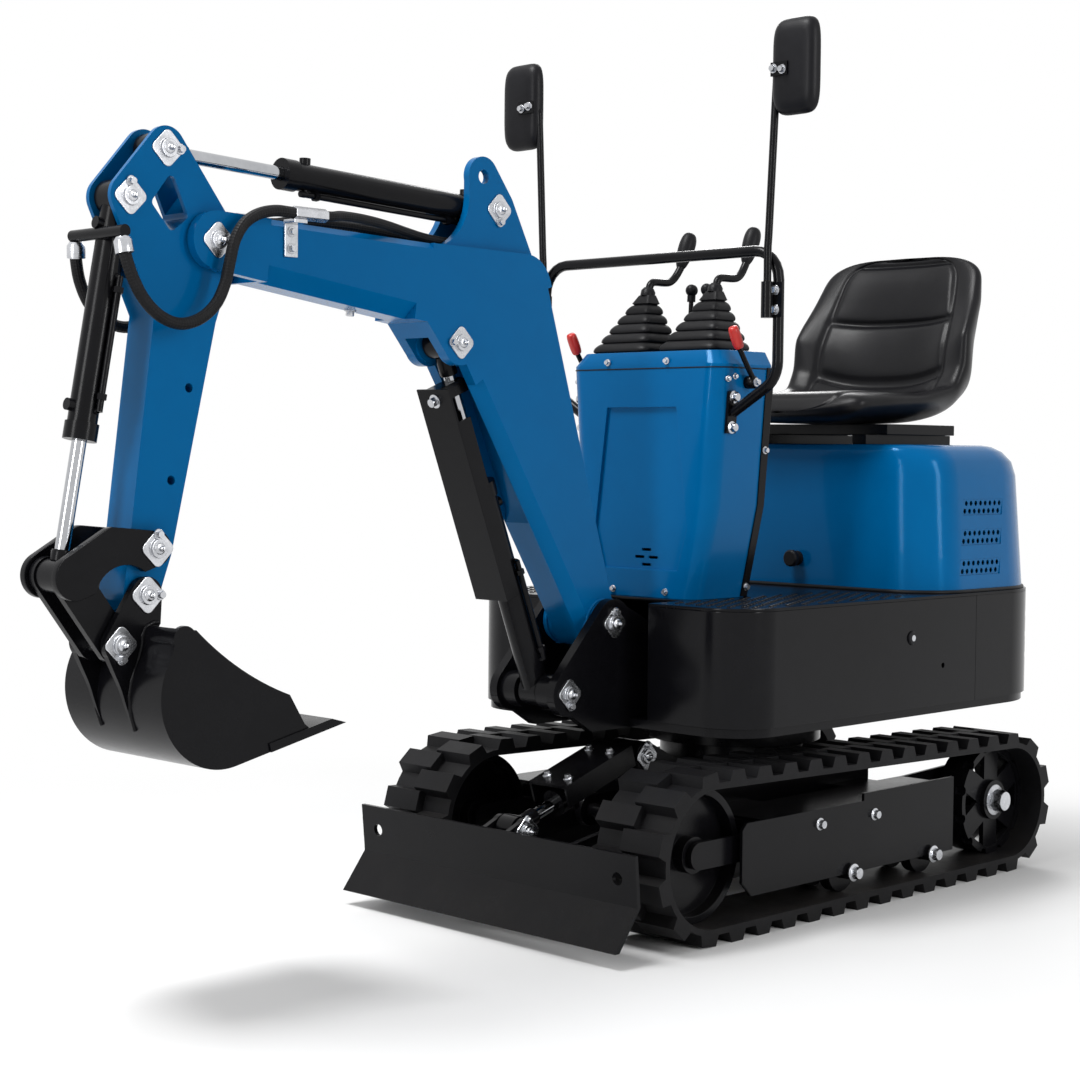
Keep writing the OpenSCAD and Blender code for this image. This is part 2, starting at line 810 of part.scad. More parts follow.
// Skirt ring round the upper body with the bay for the boom foot
module skirt_ring() {
    h = deck_top - deck_t - skirt_bottom;
    translate([0, 0, skirt_bottom])
        difference() {
            linear_extrude(h)
                upper_plan(-upper_tail, upper_front, upper_w / 2, rear_corner_r, front_corner_r);
            translate([0, 0, -1])
                linear_extrude(h + 2)
                    upper_plan(-upper_tail + skirt_wall, upper_front - skirt_wall, upper_w / 2 - skirt_wall,
                               rear_corner_r - skirt_wall, front_corner_r - skirt_wall);
            translate([upper_front - 60, -bay_w / 2, -1])
                cube([100, bay_w, h + 2]);
        }
}

module side_skirt() {
    lock = [-109, 495];
    lock_r = 13;
    bolt = [-216, 436];
    bolt_r = 5;
    difference() {
        intersection() {
            skirt_ring();
            translate([-skirt_seam_x, 0, 0])
                cube([2 * upper_tail, upper_w, deck_top]);
        }
        cross_bar(lock, lock_r, upper_w / 4, upper_w);
        cross_bar(bolt, bolt_r, upper_w / 4, upper_w);
    }
}

module skirt_left() {
    color(paint_black)
        side_skirt();
}

module skirt_right() {
    color(paint_black)
        mirror([0, 1, 0])
            side_skirt();
}

module skirt_rear() {
    slot_h = 12;
    slot_pitch = 42;
    slot_count = 3;
    color(paint_black)
        difference() {
            intersection() {
                skirt_ring();
                translate([-2 * upper_tail - skirt_seam_x, -upper_w, 0])
                    cube([2 * upper_tail, 2 * upper_w, deck_top]);
            }
            for (side = [-1, 1], k = [0:slot_count - 1])
                translate([rear_corner_r - upper_tail, side * (upper_w / 2 - rear_corner_r),
                           deck_top - 60 - k * slot_pitch])
                    rotate([0, 0, side > 0 ? 135 : -135])
                        translate([rear_corner_r - 40, -55, 0])
                            cube([60, 110, slot_h]);
        }
}

// Deck plate over the skirts, in front of and under the hood's edge
module deck() {
    color(paint_black)
        translate([0, 0, deck_top - deck_t])
            difference() {
                linear_extrude(deck_t)
                    upper_plan(-upper_tail, upper_front, upper_w / 2, rear_corner_r, front_corner_r);
                translate([upper_front - 100, -bay_w / 2, -1])
                    cube([200, bay_w, deck_t + 2]);
                translate([-upper_tail + 60, -upper_w / 2 + 60, -1])
                    cube([upper_tail - hood_front - 100, upper_w - 120, deck_t + 2]);
            }
}

// Hood over the engine: drafted shell with rounded shoulders, open below
module hood_level(z, inset, rear_inset, wall, h) {
    translate([0, 0, z])
        linear_extrude(h)
            upper_plan(-upper_tail + 6 + rear_inset + wall, -hood_front - wall - inset / 3,
                       upper_w / 2 - hood_side_gap - inset - wall, rear_corner_r - 8 - rear_inset * 0.6 - wall,
                       hood_corner_r - inset * 0.5 - wall);
}

module hood_form(wall) {
    hull($fn = 48) {
        hood_level(hood_low - (wall > 0 ? 1 : 0), 0, 0, wall, 1);
        hood_level(hood_shoulder, hood_draft, hood_draft + 2, wall, 1);
        hood_level(hood_top - 34 - wall, 20, 28, wall, 1);
        hood_level(hood_top - 14 - wall, 33, 56, wall, 1);
        hood_level(hood_top - 4 - wall, 48, 84, wall, 1);
        hood_level(hood_top - 1 - wall, 62, 106, wall, 1);
    }
}

module hood() {
    color(paint_blue)
        difference() {
            hood_form(0);
            hood_form(panel_wall);
            for (k = [0:grille_count - 1])
                both_slabs(upper_w / 4, upper_w / 2)
                    grille_outline(k, seat_gap);
        }
}

// Perforated plates in the hood's three windows on each side: slanted outline, staggered rows of holes
module grille_outline(k, grow) {
    low = grille_low + k * grille_pitch;
    front = -hood_front - grille_back + k * grille_lean;
    slant = grille_lean * grille_size[1] / grille_pitch;
    polygon([[front - grille_size[0] - grow, low - grow], [front + grow, low - grow],
             [front + slant + grow, low + grille_size[1] + grow],
             [front - grille_size[0] + slant - grow, low + grille_size[1] + grow]]);
}

module hood_grilles() {
    plate_t = 2;
    hole_r = 5.5;
    hole_pitch = 17;
    rows = 2;
    columns = 8;
    row_pitch = grille_size[1] / rows;
    color(paint_blue)
        for (k = [0:grille_count - 1]) {
            low = grille_low + k * grille_pitch;
            outer = hood_flank(low + grille_size[1] / 2) - panel_wall / 4;
            both_slabs(outer - plate_t, outer)
                difference() {
                    grille_outline(k, 0);
                    for (row = [0:rows - 1], column = [0:columns - 1])
                        translate([-hood_front - grille_back + k * grille_lean - 11 - column * hole_pitch - row * 5,
                                   low + (row + 0.5) * row_pitch])
                            circle(hole_r, $fn = 6);
                }
        }
}

module engine_block() {
    color(paint_black)
        translate([-engine_back, -engine_size[1] / 2, platform_low + platform_t])
            cube(engine_size);
}

// Seat slides on the hood and the plain body of the moulded seat
module seat_rails() {
    rail_gap = 250;
    rail_size = [300, 34, 20];
    color(paint_black) {
        for (side = [-1, 1])
            translate([-hood_front - 340, side * rail_gap / 2 - rail_size[1] / 2, hood_top])
                cube(rail_size);
        translate([-hood_front - 320, -rail_gap / 2 - 40, hood_top + rail_size[2]])
            cube([240, rail_gap + 80, seat_z - hood_top - rail_size[2]]);
    }
}

// Soft form between balls on both sides of the middle: each ball is a place, a distance aside and a radius
module cushion(balls) {
    hull($fn = 24)
        for (ball = balls, side = [-1, 1])
            translate([ball[0][0], side * (ball[1] - ball[2]), ball[0][1]])
                sphere(ball[2]);
}

module wing(balls) {
    hull($fn = 16)
        for (ball = balls)
            translate([ball[0][0], ball[1] - ball[2], ball[0][1]])
                sphere(ball[2]);
}

module seat() {
    half = seat_w / 2;
    front = -150;
    back = -545;
    color(rubber_black) {
        cushion([[[front, seat_z + 32], half - 48, 32], [[front - 40, seat_z + 36], half - 20, 34],
                 [[back + 20, seat_z + 40], half - 30, 40]]);
        cushion([[[back + 10, seat_z + 66], half - 8, 36], [[back + 8, seat_z + 130], half - 4, 32],
                 [[back - 22, seat_top - 78], half - 42, 30], [[back - 30, seat_top - 30], half - 92, 30]]);
        for (side = [0, 1])
            mirror([0, side, 0])
                wing([[[front - 150, seat_z + 52], half - 8, 22], [[back + 60, seat_z + 130], half, 22],
                      [[back + 10, seat_z + 150], half, 24], [[back + 10, seat_z + 60], half - 6, 30]]);
    }
}

// Control console: drafted below its kink, closed at the top, open below
module console_level(z, w, depth_cut, wall, h) {
    translate([0, 0, z])
        linear_extrude(h)
            upper_plan(console_rear + wall, console_front - depth_cut - wall, w / 2 - wall, console_rear_r - wall,
                       console_corner_r - wall);
}

module console_form(wall) {
    hull($fn = 32) {
        console_level(deck_top - (wall > 0 ? 1 : 0), console_foot_w, 0, wall, 1);
        console_level(console_kink, console_waist_w, 0, wall, 1);
    }
    hull($fn = 32) {
        console_level(console_kink, console_waist_w, 0, wall, 1);
        console_level(console_lid, console_w, 0, wall, 1);
    }
    hull($fn = 32) {
        console_level(console_lid, console_w, 0, wall, 1);
        console_level(console_top - 1 - wall, console_w - 30, 14, wall, 1);
    }
}

// Recess pressed into the console's front, as deep outside as inside
module console_recess(depth, grow) {
    translate([console_front - depth, 0, 0])
        rotate([90, 0, 90])
            linear_extrude(2 * depth)
                polygon([for (side = [-1, 1], k = [0:2])
                    let (corner = recess_half[side < 0 ? k : 2 - k])
                    [side * (corner[0] + grow), corner[1] + grow * (k == (side < 0 ? 0 : 2) ? 1 : -1)]]);
}

module console() {
    slot_size = [22, 5];
    slot_at = [[0, 658], [0, 630], [-17, 644], [17, 644]];
    slot_y = 12;
    color(paint_blue)
        difference() {
            console_form(0);
            difference() {
                console_form(panel_wall);
                console_recess(recess_depth + panel_wall, panel_wall);
            }
            console_recess(recess_depth, 0);
            for (slot = slot_at)
                translate([console_front - console_depth / 2, slot_y + slot[0] - slot_size[0] / 2, slot[1]])
                    cube([console_depth, slot_size[0], slot_size[1]]);
        }
}

// Black edge strip down the console's rear corners
module console_trim() {
    strip_t = 5;
    strip_w = 26;
    color(paint_black)
        for (side = [-1, 1])
            mirror([0, side < 0 ? 1 : 0, 0])
                translate([console_rear - strip_t, 0, 0])
                    rotate([90, 0, 90])
                        linear_extrude(strip_t)
                            polygon([[console_foot_w / 2, deck_top], [console_w / 2 - 20, console_kink],
                                     [console_w / 2, console_top - 40], [console_w / 2 - strip_w, console_top - 40],
                                     [console_w / 2 - 20 - strip_w, console_kink],
                                     [console_foot_w / 2 - strip_w, deck_top]]);
}

// Pleated rubber boots under the two joysticks
boot_y = 80;
boot_x = console_rear + 78;
boot_h = 102;
boot_steps = 6;
module lever_boot() {
    step = boot_h / boot_steps;
    for (k = [0:boot_steps - 1]) {
        big = 128 - 16 * k;
        translate([-4 * k, 0, k * step])
            linear_extrude(step * 0.55)
                round_rect([big, big], 8);
        translate([-4 * k, 0, k * step])
            linear_extrude(step)
                round_rect([big - 22, big - 22], 6);
    }
}

module lever_boots() {
    color(rubber_black)
        for (side = [-1, 1])
            translate([boot_x - 4, side * boot_y, console_top])
                lever_boot();
}

// Joystick: cranked lever with a grip
module joystick() {
    lever_r = 6;
    grip_r = 15;
    foot = [boot_x - 24, 0, console_top + boot_h + 4.4];
    elbow = foot + [-24, 0, 26];
    reach = elbow + [-58, 0, 2];
    top = reach + [-14, 0, 44];
    grip = top + [-22, 0, 78];
    tube(bent([foot, elbow, reach, top, top + 0.2 * (grip - top)], 12, 3), lever_r, 8, [0, 1, 0]);
    hull($fn = 16) {
        translate(top)
            sphere(grip_r - 3);
        translate(grip)
            sphere(grip_r + 3);
    }
}

module joysticks() {
    color(rubber_black)
        for (side = [-1, 1])
            translate([0, side * boot_y, 0])
                joystick();
}

// Ball levers between the boots and the red hand levers at the console's sides
module hand_levers() {
    ball_r = 10;
    color(rubber_black)
        for (side = [-1, 1])
            translate([console_rear - 4, side * 18, 0]) {
                bar([8, 0, console_top + 0.6], [-2, 0, console_top + 110], 5);
                translate([-2, 0, console_top + 116])
                    sphere(ball_r);
            }
    for (side = [-1, 1]) {
        pivot_z = console_top - 60;
        pivot = [console_rear + 70, side * (flank(pivot_z + 9) + seat_gap), pivot_z];
        elbow = pivot + [0, side * 12, 0];
        top = elbow + [42, 0, 56];
        color(paint_black) {
            bar(pivot, elbow + [0, side * 6, 0], 9);
            bar(elbow, top, 5);
        }
        color(signal_red)
            bar(top, top + [16, 0, 26], 9);
    }
}

// Hand rail round the console: flanged feet on the console's sides, posts and top bar
rail_foot_z = 916;
module handrail() {
    post_y = rail_w / 2;
    flange_w = 26;
    flange_t = 6;
    low = rail_foot_z - 38;
    high = rail_foot_z + 38;
    foot_y = flank(rail_foot_z) + rail_r * 0.75;
    path = bent([[rail_x, -foot_y, rail_foot_z], [rail_x, -post_y, rail_foot_z + 60], [rail_x, -post_y, rail_top],
                 [rail_x, post_y, rail_top], [rail_x, post_y, rail_foot_z + 60], [rail_x, foot_y, rail_foot_z]],
                54, 6);
    color(paint_black) {
        tube(path, rail_r, 12, [1, 0, 0]);
        for (side = [0, 1])
            mirror([0, side, 0])
                translate([rail_x - flange_w / 2, 0, 0])
                    rotate([90, 0, 90])
                        linear_extrude(flange_w)
                            polygon([[flank(low) + seat_gap, low], [flank(low) + flange_t, low],
                                     [flank(high) + flange_t, high], [flank(high) + seat_gap, high]]);
    }
}

// Mirrors on stalks clamped to the rail posts
module mirror_arm() {
    stalk_r = 6;
    stalk_x = rail_x + rail_r + stalk_r + 4;
    stalk_y = rail_w / 2 - 10;
    clamp_h = 14;
    stalk_low = [stalk_x, stalk_y, rail_top - 120];
    stalk_top = [stalk_x, rail_w / 2 + 6, mirror_z];
    head_y = rail_w / 2 + 48;
    tube(bent([stalk_low, stalk_low + [0, 0, 130], stalk_top, stalk_top + [0, 40, 0]], 16, 4), stalk_r, 8, [1, 0, 0]);
    for (z = [stalk_low[2] + 6, stalk_low[2] + 46])
        translate([0, 0, z])
            difference() {
                translate([rail_x - rail_r - 5, stalk_y - stalk_r - 7, 0])
                    cube([stalk_x - rail_x + rail_r + stalk_r + 10, rail_w / 2 - stalk_y + rail_r + stalk_r + 12, clamp_h]);
                translate([rail_x, rail_w / 2, -1])
                    cylinder(r = rail_r + run_gap, h = clamp_h + 2);
                translate([stalk_x, stalk_y, -1])
                    cylinder(r = stalk_r + run_gap, h = clamp_h + 2);
            }
    translate([stalk_x + 14, head_y, mirror_z])
        rotate([90, 0, 90])
            hull($fn = 24) {
                linear_extrude(4)
                    round_rect(mirror_size - [16, 16], 20);
                translate([0, 0, -22])
                    linear_extrude(10)
                        round_rect(mirror_size, 26);
            }
}

module mirrors() {
    color(paint_black)
        for (side = [0, 1])
            mirror([0, side, 0])
                mirror_arm();
}

// Boom: box section with the goose neck, forks for stick and cylinders, lifting eye
boom_heel = [640, 1120];
boom_neck = [850, 1118];
foot_r = 46;
heel_r = 62;
neck_r = 66;
tip_r = 44;
lug_t = 14;
lug_r = 38;
lift_boss_r = 34;
lug_fillet_r = 94;
fillet_at = [lift_eye[0] + lift_boss_r - 1 + lug_fillet_r, boom_neck[1] + neck_r - 6 + lug_fillet_r];
front_edge = [boom_pin + [40, -22], boom_cyl_head + [-14, -36]];
module boom_outline() {
    strap(boom_pin, boom_heel, foot_r, heel_r);
    strap(boom_heel, boom_neck, heel_r, neck_r);
    strap(boom_neck, stick_pin, neck_r, tip_r);
    polygon([front_edge[0], front_edge[1], boom_cyl_head + [34, -18], boom_neck + [20, 2 - neck_r], boom_heel]);
}

// Cheek of the lug: its front edge runs from a top point into a hollow fillet, entered at a given angle
module lug_outline(top, entry) {
    lug_foot = boom_heel + [10, 40];
    strap(stick_cyl_base, lug_foot, lug_r, lug_r + 2);
    difference() {
        polygon([stick_cyl_base, top, fillet_at + lug_fillet_r * unit(entry), fillet_at,
                 fillet_at - [0, lug_fillet_r], boom_heel]);
        translate(fillet_at)
            circle(lug_fillet_r, $fn = 96);
    }
}

// Wedges that chamfer both side edges along a line of the boom's outline, the boom being on the line's left
module edge_cut(ends, from, to, leg) {
    over = 2;
    on_line(ends[0], ends[1])
        translate([0, 0, from])
            linear_extrude(norm(ends[1] - ends[0]) - from - to)
                for (side = [-1, 1])
                    polygon([[over, side * (boom_w / 2 - leg - over)], [over, side * (boom_w / 2 + over)],
                             [-leg - over, side * (boom_w / 2 + over)]]);
}

module boom() {
    slot_r = eye_r + 28;
    slot_foot = boom_cyl_head - [112, 300];
    head_boss_r = 32;
    color(paint_blue)
        difference() {
            union() {
                difference() {
                    slab(-boom_w / 2, boom_w / 2)
                        boom_outline();
                    edge_cut(front_edge, -30, 40, 20);
                    edge_cut(outer_tangent(boom_neck, stick_pin, neck_r, tip_r), 40, 100, 26);
                    edge_cut(outer_tangent(stick_pin, boom_neck, tip_r, neck_r), 100, 10, 10);
                    edge_cut(outer_tangent(boom_heel, boom_pin, heel_r, foot_r), 10, -20, 10);
                }
                slab(-eye_cheek_y - lug_t, -eye_cheek_y)
                    lug_outline(stick_cyl_base + lug_r * unit(35), 205);
                slab(eye_cheek_y, eye_cheek_y + lug_t)
                    union() {
                        lug_outline(lift_eye + [lift_boss_r - 1, -8], 180);
                        strap(lift_eye, stick_cyl_base, lift_boss_r, lug_r);
                    }
                both_slabs(eye_cheek_y, boom_w / 2)
                    translate(boom_cyl_head)
                        circle(38);
                cross_bar(boom_pin, 40, -foot_cheek_y + side_gap, foot_cheek_y - side_gap);
            }
            slab(-boom_fork_y, boom_fork_y)
                union() {
                    translate(stick_pin)
                        circle(104);
                    translate(stick_pin + [-10, -80])
                        square([120, 160]);
                }
            slab(-boom_slot_y, boom_slot_y)
                difference() {
                    strap(boom_cyl_head, slot_foot, slot_r, slot_r + 19);
                    translate(boom_cyl_head)
                        circle(head_boss_r);
                }
            slab(-eye_cheek_y, eye_cheek_y)
                union() {
                    translate(boom_cyl_head)
                        circle(head_boss_r + 1);
                    translate(stick_cyl_base)
                        circle(eye_r + 4);
                    translate(stick_cyl_base - [0, eye_r + 4])
                        square([200, 2 * eye_r + 8]);
                }
            cross_bar(boom_pin, pin_r + run_gap, -foot_cheek_y, foot_cheek_y);
            cross_bar(stick_pin, pin_r, -boom_w, boom_w);
            cross_bar(boom_cyl_head, pin_r, -boom_w, boom_w);
            cross_bar(stick_cyl_base, pin_r, -boom_w, boom_w);
            cross_bar(lift_eye, lift_eye_r, -boom_w, boom_w);
        }
}

module boom_pins() {
    color(steel_bright) {
        flag_pin(stick_pin, boom_w / 2);
        flag_pin(stick_cyl_base, eye_cheek_y + lug_t);
        stub_pins(boom_cyl_head, eye_cheek_y, boom_w / 2);
        for (side = [0, 1])
            mirror([0, side, 0])
                hose_bracket();
    }
}

// Strip bolted to the boom's side with the union that joins two hoses
module hose_bracket() {
    strip_w = 26;
    strip_t = 4;
    strip_low = hose_union[1] - 66;
    seat_z = hose_union[1] - union_r;
    translate([hose_union[0] + 8, boom_w / 2 + seat_gap, strip_low])
        cube([strip_w, strip_t, seat_z - strip_low]);
    translate([hose_union[0] + 8, boom_w / 2 + seat_gap, seat_z - strip_t])
        cube([strip_w, hose_y - boom_w / 2 + union_r / 2, strip_t + 2]);
    translate([hose_union[0] - union_l / 2, hose_y, hose_union[1]])
        rotate([0, 90, 0])
            cylinder(r = union_r, h = union_l, $fn = 6);
}

module boom_barrel() {
    color(paint_black)
        barrel(boom_cyl_foot, boom_cyl_head, boom_barrel_r, boom_barrel_l, true);
}

module boom_rod() {
    color(steel_bright)
        piston_rod(boom_cyl_foot, boom_cyl_head, 240);
}

// Folded guard in front of the boom cylinder, carried by a clamp at the rod's end
module rod_guard() {
    guard_w = 80;
    guard_t = 4;
    guard_x = boom_barrel_r + 18;
    flange_x = 14;
    flange_cut = 60;
    top = norm(boom_cyl_head - boom_cyl_foot) - 66;
    color(paint_black)
        on_line(boom_cyl_foot, boom_cyl_head)
            difference() {
                union() {
                    translate([guard_x, -guard_w / 2, top - guard_l])
                        cube([guard_t, guard_w, guard_l]);
                    for (side = [-1, 1])
                        translate([flange_x, side * (guard_w / 2 - guard_t / 2) - guard_t / 2, top - guard_l])
                            cube([guard_x - flange_x + 1, guard_t, guard_l - flange_cut]);
                    translate([-18, -18, top - 24])
                        cube([guard_x + 19, 36, 24]);
                }
                translate([0, 0, top - 30])
                    cylinder(r = rod_r, h = 40);
            }
}

// Stick: box arm with the open head for two cylinder eyes and the pins for rocker and bucket
stick_shoulder = [1340, 1048];
stick_holes = [[1335, 933], [1367, 795]];
head_window = [[50, 34], [70, 18], [97, 49], [72, 82]];
module stick_outline() {
    plate([stick_pin, stick_shoulder, bucket_cyl_base, stick_cyl_head], [50, 56, 33, 33]);
    strap(stick_shoulder, rocker_pin, 56, 38);
    strap(rocker_pin, bucket_pin, 38, 31);
}

module stick() {
    head_mid = (stick_cyl_head + bucket_cyl_base) / 2 - stick_pin;
    head_turn = atan2(head_mid[1], head_mid[0]);
    head_hub = 58;
    head_reach = 300;
    color(paint_blue)
        difference() {
            slab(-stick_w / 2, stick_w / 2)
                stick_outline();
            slab(-eye_cheek_y, eye_cheek_y)
                translate(stick_pin)
                    rotate(head_turn)
                        translate([head_hub, -head_reach])
                            square(2 * head_reach);
            slab(-stick_w, stick_w)
                plate([for (corner = head_window) stick_pin + corner], [for (corner = head_window) 8]);
            for (hole = stick_holes)
                cross_bar(hole, stick_hole_r, -stick_w, stick_w);
            cross_bar(stick_pin, pin_r + run_gap, -stick_w, stick_w);
            cross_bar(stick_cyl_head, pin_r, -stick_w, stick_w);
            cross_bar(bucket_cyl_base, pin_r, -stick_w, stick_w);
            cross_bar(rocker_pin, pin_r, -stick_w, stick_w);
            cross_bar(bucket_pin, pin_r, -stick_w, stick_w);
        }
}

module stick_pins() {
    color(steel_bright) {
        stub_pins(stick_cyl_head, eye_cheek_y, stick_w / 2);
        flag_pin(bucket_cyl_base, stick_w / 2);
        flag_pin(rocker_pin, rocker_in_y + rocker_t);
        flag_pin(bucket_pin, ear_in_y + ear_t);
    }
}

module stick_barrel() {
    color(paint_black)
        barrel(stick_cyl_base, stick_cyl_head, barrel_r, stick_barrel_l, true);
}

module stick_rod() {
    color(steel_bright)
        piston_rod(stick_cyl_base, stick_cyl_head, 240);
}

// Barrel of the bucket cylinder with the cross pipe that takes both hoses
hose_r = 9;
hose_y = 72;
hose_block_r = 9;
hose_block_y = 68;
hose_block = along(bucket_cyl_base, knee_pin, 60) + aside(bucket_cyl_base, knee_pin, barrel_r);
module bucket_barrel() {
    color(paint_black) {
        barrel(bucket_cyl_base, knee_pin, barrel_r, bucket_barrel_l, true);
        cross_bar(hose_block, hose_block_r, -hose_block_y, hose_block_y);
    }
}

// Hoses: a loop on each side from the boom's bracket to the bucket cylinder, and a pair along the boom's top
hose_union = [1138, 1205];
union_l = 64;
union_r = 11;
hose_loop = [[1205, 72, 1205], [1238, 72, 1197], [1264, 72, 1180], [1281, 72, 1154], [1290, 72, 1122],
             [1299, 72, 1088], [1316, 72, 1057], [1345, 72, 1034], [1380, 72, 1025], [1414, 72, 1034],
             [1442, 71, 1057], [1460, 68, 1088], [1469, 64, 1118]];
boom_hose_r = 8;
hose_lane = 12;
boom_hose = [[1070, 66, 1209], [1030, 56, 1210], [985, 44, 1209], [940, 32, 1206], [895, 22, 1201], [850, 14, 1196],
             [805, 12, 1193], [760, 12, 1192.5]];
module stick_hoses() {
    start = [hose_union[0] + union_l / 2 + seat_gap, hose_y, hose_union[1]];
    end = [hose_block[0], hose_block_y - hose_r, hose_block[1] - hose_block_r - seat_gap];
    lead = [0, 0, 14];
    color(rubber_black)
        for (side = [0, 1])
            mirror([0, side, 0])
                tube(concat([start], hose_loop, [end - lead, end]), hose_r, 10, [0, 1, 0]);
}

module boom_hoses() {
    start = [hose_union[0] - union_l / 2 - seat_gap, hose_y, hose_union[1]];
    end_x = 720;
    rise = (boom_neck + [0, neck_r] - boom_heel - [0, heel_r]);
    boom_top = boom_heel[1] + heel_r + rise[1] * (end_x - boom_heel[0]) / rise[0];
    end = [end_x, hose_lane, boom_top + boom_hose_r + seat_gap];
    lead = [14, 0, 0];
    color(rubber_black)
        for (side = [0, 1])
            mirror([0, side, 0])
                tube(concat([start, start - lead], boom_hose, [end]), boom_hose_r, 10, [0, 0, 1]);
}

module bucket_rod() {
    color(steel_bright)
        piston_rod(bucket_cyl_base, knee_pin, 200);
}

// Rockers: two thick curved links from the stick to the knee
module rocker_outline() {
    middle = (rocker_pin + knee_pin) / 2;
    scallop_r = 54;
    scallop_drop = 60;
    difference() {
        plate([rocker_pin, knee_pin, middle + aside(rocker_pin, knee_pin, 26)], [rocker_foot_r, rocker_eye_r, 27]);
        translate(middle - aside(rocker_pin, knee_pin, scallop_drop))
            circle(scallop_r);
    }
}

module rockers() {
    color(paint_black)
        difference() {
            both_slabs(rocker_in_y, rocker_in_y + rocker_t)
                rocker_outline();
            cross_bar(rocker_pin, pin_r + run_gap, -100, 100);
        }
}

// Link between knee and bucket: two plates and the web that ties them
module bucket_link() {
    web_a = along(link_pin, knee_pin, 48);
    web_b = along(link_pin, knee_pin, 72);
    color(paint_black)
        difference() {
            union() {
                both_slabs(link_in_y, link_out_y)
                    strap(link_pin, knee_pin, 28, 28);
                slab(-link_in_y - 1, link_in_y + 1)
                    strap(web_a, web_b, 9, 9);
            }
            cross_bar(link_pin, pin_r + run_gap, -100, 100);
        }
}

// Bucket: rolled shell, side plates, flat cutting lip, ears with gussets
lip_turn = atan2(lip_tip[1] - belly[1], lip_tip[0] - belly[0]);
lip_open = acos(belly_r / norm(lip_tip - belly));
lip_tangent = belly + belly_r * unit(lip_turn + lip_open);
bucket_top = [[1424, 578], [1396, 586]];
bucket_rim = [[1215, 471], [1186, 424]];
rim_hollow_r = 520;
top_round_r = 20;
ear_foot = [1448, 500];
module bucket_side() {
    above = [0, 2 * belly_r];
    chord = bucket_rim[0] - bucket_top[1];
    hollow_at = (bucket_top[1] + bucket_rim[0]) / 2
        - aside(bucket_top[1], bucket_rim[0], sqrt(rim_hollow_r * rim_hollow_r - chord * chord / 4));
    difference() {
        union() {
            translate(belly)
                circle(belly_r, $fn = 96);
            translate(bucket_top[1] + [12, -top_round_r])
                circle(top_round_r);
            polygon([bucket_top[0] - [0, 12], bucket_top[1] - [8, top_round_r], bucket_rim[1] + [0, 60], bucket_rim[1],
                     lip_tip + [72, -2], lip_tip + [72, -16], lip_tangent, belly, belly + belly_r * unit(6)]);
        }
        translate(hollow_at)
            circle(rim_hollow_r, $fn = 180);
        polygon([bucket_rim[0], bucket_rim[1], bucket_rim[1] - [10, 0], bucket_rim[1] - [10, 0] + above,
                 bucket_rim[0] + above]);
    }
}

module bucket_inside() {
    w = bucket_wall;
    translate(belly)
        circle(belly_r - w, $fn = 96);
    polygon([bucket_top[0] - [w, 0], bucket_top[1] + [40, 30], bucket_top[1] + [-120, 60], bucket_rim[1] + [-60, 60],
             lip_tip + [60, 14 + w], lip_tangent + w * unit(lip_turn + lip_open + 180), belly,
             belly + (belly_r - w) * unit(6)]);
}

module bucket() {
    side_t = 8;
    lip_t = 14;
    lip_l = 150;
    lip_bevel = 26;
    lip_dir = (lip_tangent - lip_tip) / norm(lip_tangent - lip_tip);
    lip_up = lip_t * [-lip_dir[1], lip_dir[0]];
    color(paint_black)
        difference() {
            union() {
                difference() {
                    slab(-bucket_w / 2, bucket_w / 2)
                        bucket_side();
                    slab(-bucket_w / 2 + side_t, bucket_w / 2 - side_t)
                        bucket_inside();
                }
                slab(-bucket_w / 2 - 3, bucket_w / 2 + 3)
                    polygon([lip_tip, lip_tip + lip_l * lip_dir, lip_tip + lip_l * lip_dir + lip_up,
                             lip_tip + lip_bevel * lip_dir + lip_up]);
                both_slabs(ear_in_y, ear_in_y + ear_t)
                    union() {
                        strap(bucket_pin, link_pin, ear_r, ear_r);
                        polygon([bucket_pin - [ear_r - 1, 8], link_pin + [ear_r - 1, -8], ear_foot, bucket_top[1] - [0, 2]]);
                    }
            }
            cross_bar(bucket_pin, pin_r + run_gap, -100, 100);
            cross_bar(link_pin, pin_r, -100, 100);
        }
}

module bucket_pins() {
    color(steel_bright)
        flag_pin(link_pin, ear_in_y + ear_t);
}

// Every piece in its place
module placed() {
    translate([place_x, 0, 0])
        children();
}

placed() lower_frame();
placed() slew_ring();
placed() track_frames();
placed() track_left();
placed() track_right();
placed() sprockets();
placed() idlers();
placed() rollers();
placed() frame_pins();
placed() dozer_blade();
placed() blade_pins();
placed() blade_barrel();
placed() blade_rod();
placed() platform();
placed() skirt_left();
placed() skirt_right();
placed() skirt_rear();
placed() deck();
placed() hood();
placed() hood_grilles();
placed() engine_block();
placed() seat_rails();
placed() seat();
placed() console();
placed() console_trim();
placed() lever_boots();
placed() joysticks();
placed() hand_levers();
placed() handrail();
placed() mirrors();
placed() upper_pins();
placed() boom();
placed() boom_pins();
placed() boom_barrel();
placed() boom_rod();
placed() rod_guard();
placed() stick();
placed() stick_pins();
placed() stick_barrel();
placed() stick_rod();
placed() bucket_barrel();
placed() bucket_rod();
placed() stick_hoses();
placed() boom_hoses();
placed() rockers();
placed() bucket_link();
placed() bucket();
placed() bucket_pins();
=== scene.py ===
"""Looks of a micro excavator on rubber tracks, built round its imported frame.

Lengths in this script are millimetres from the slew axis at ground level: X forward, Y to the machine's
left, Z up. A piece is turned into the frame's metres when its mesh is made.
"""
import json
import math

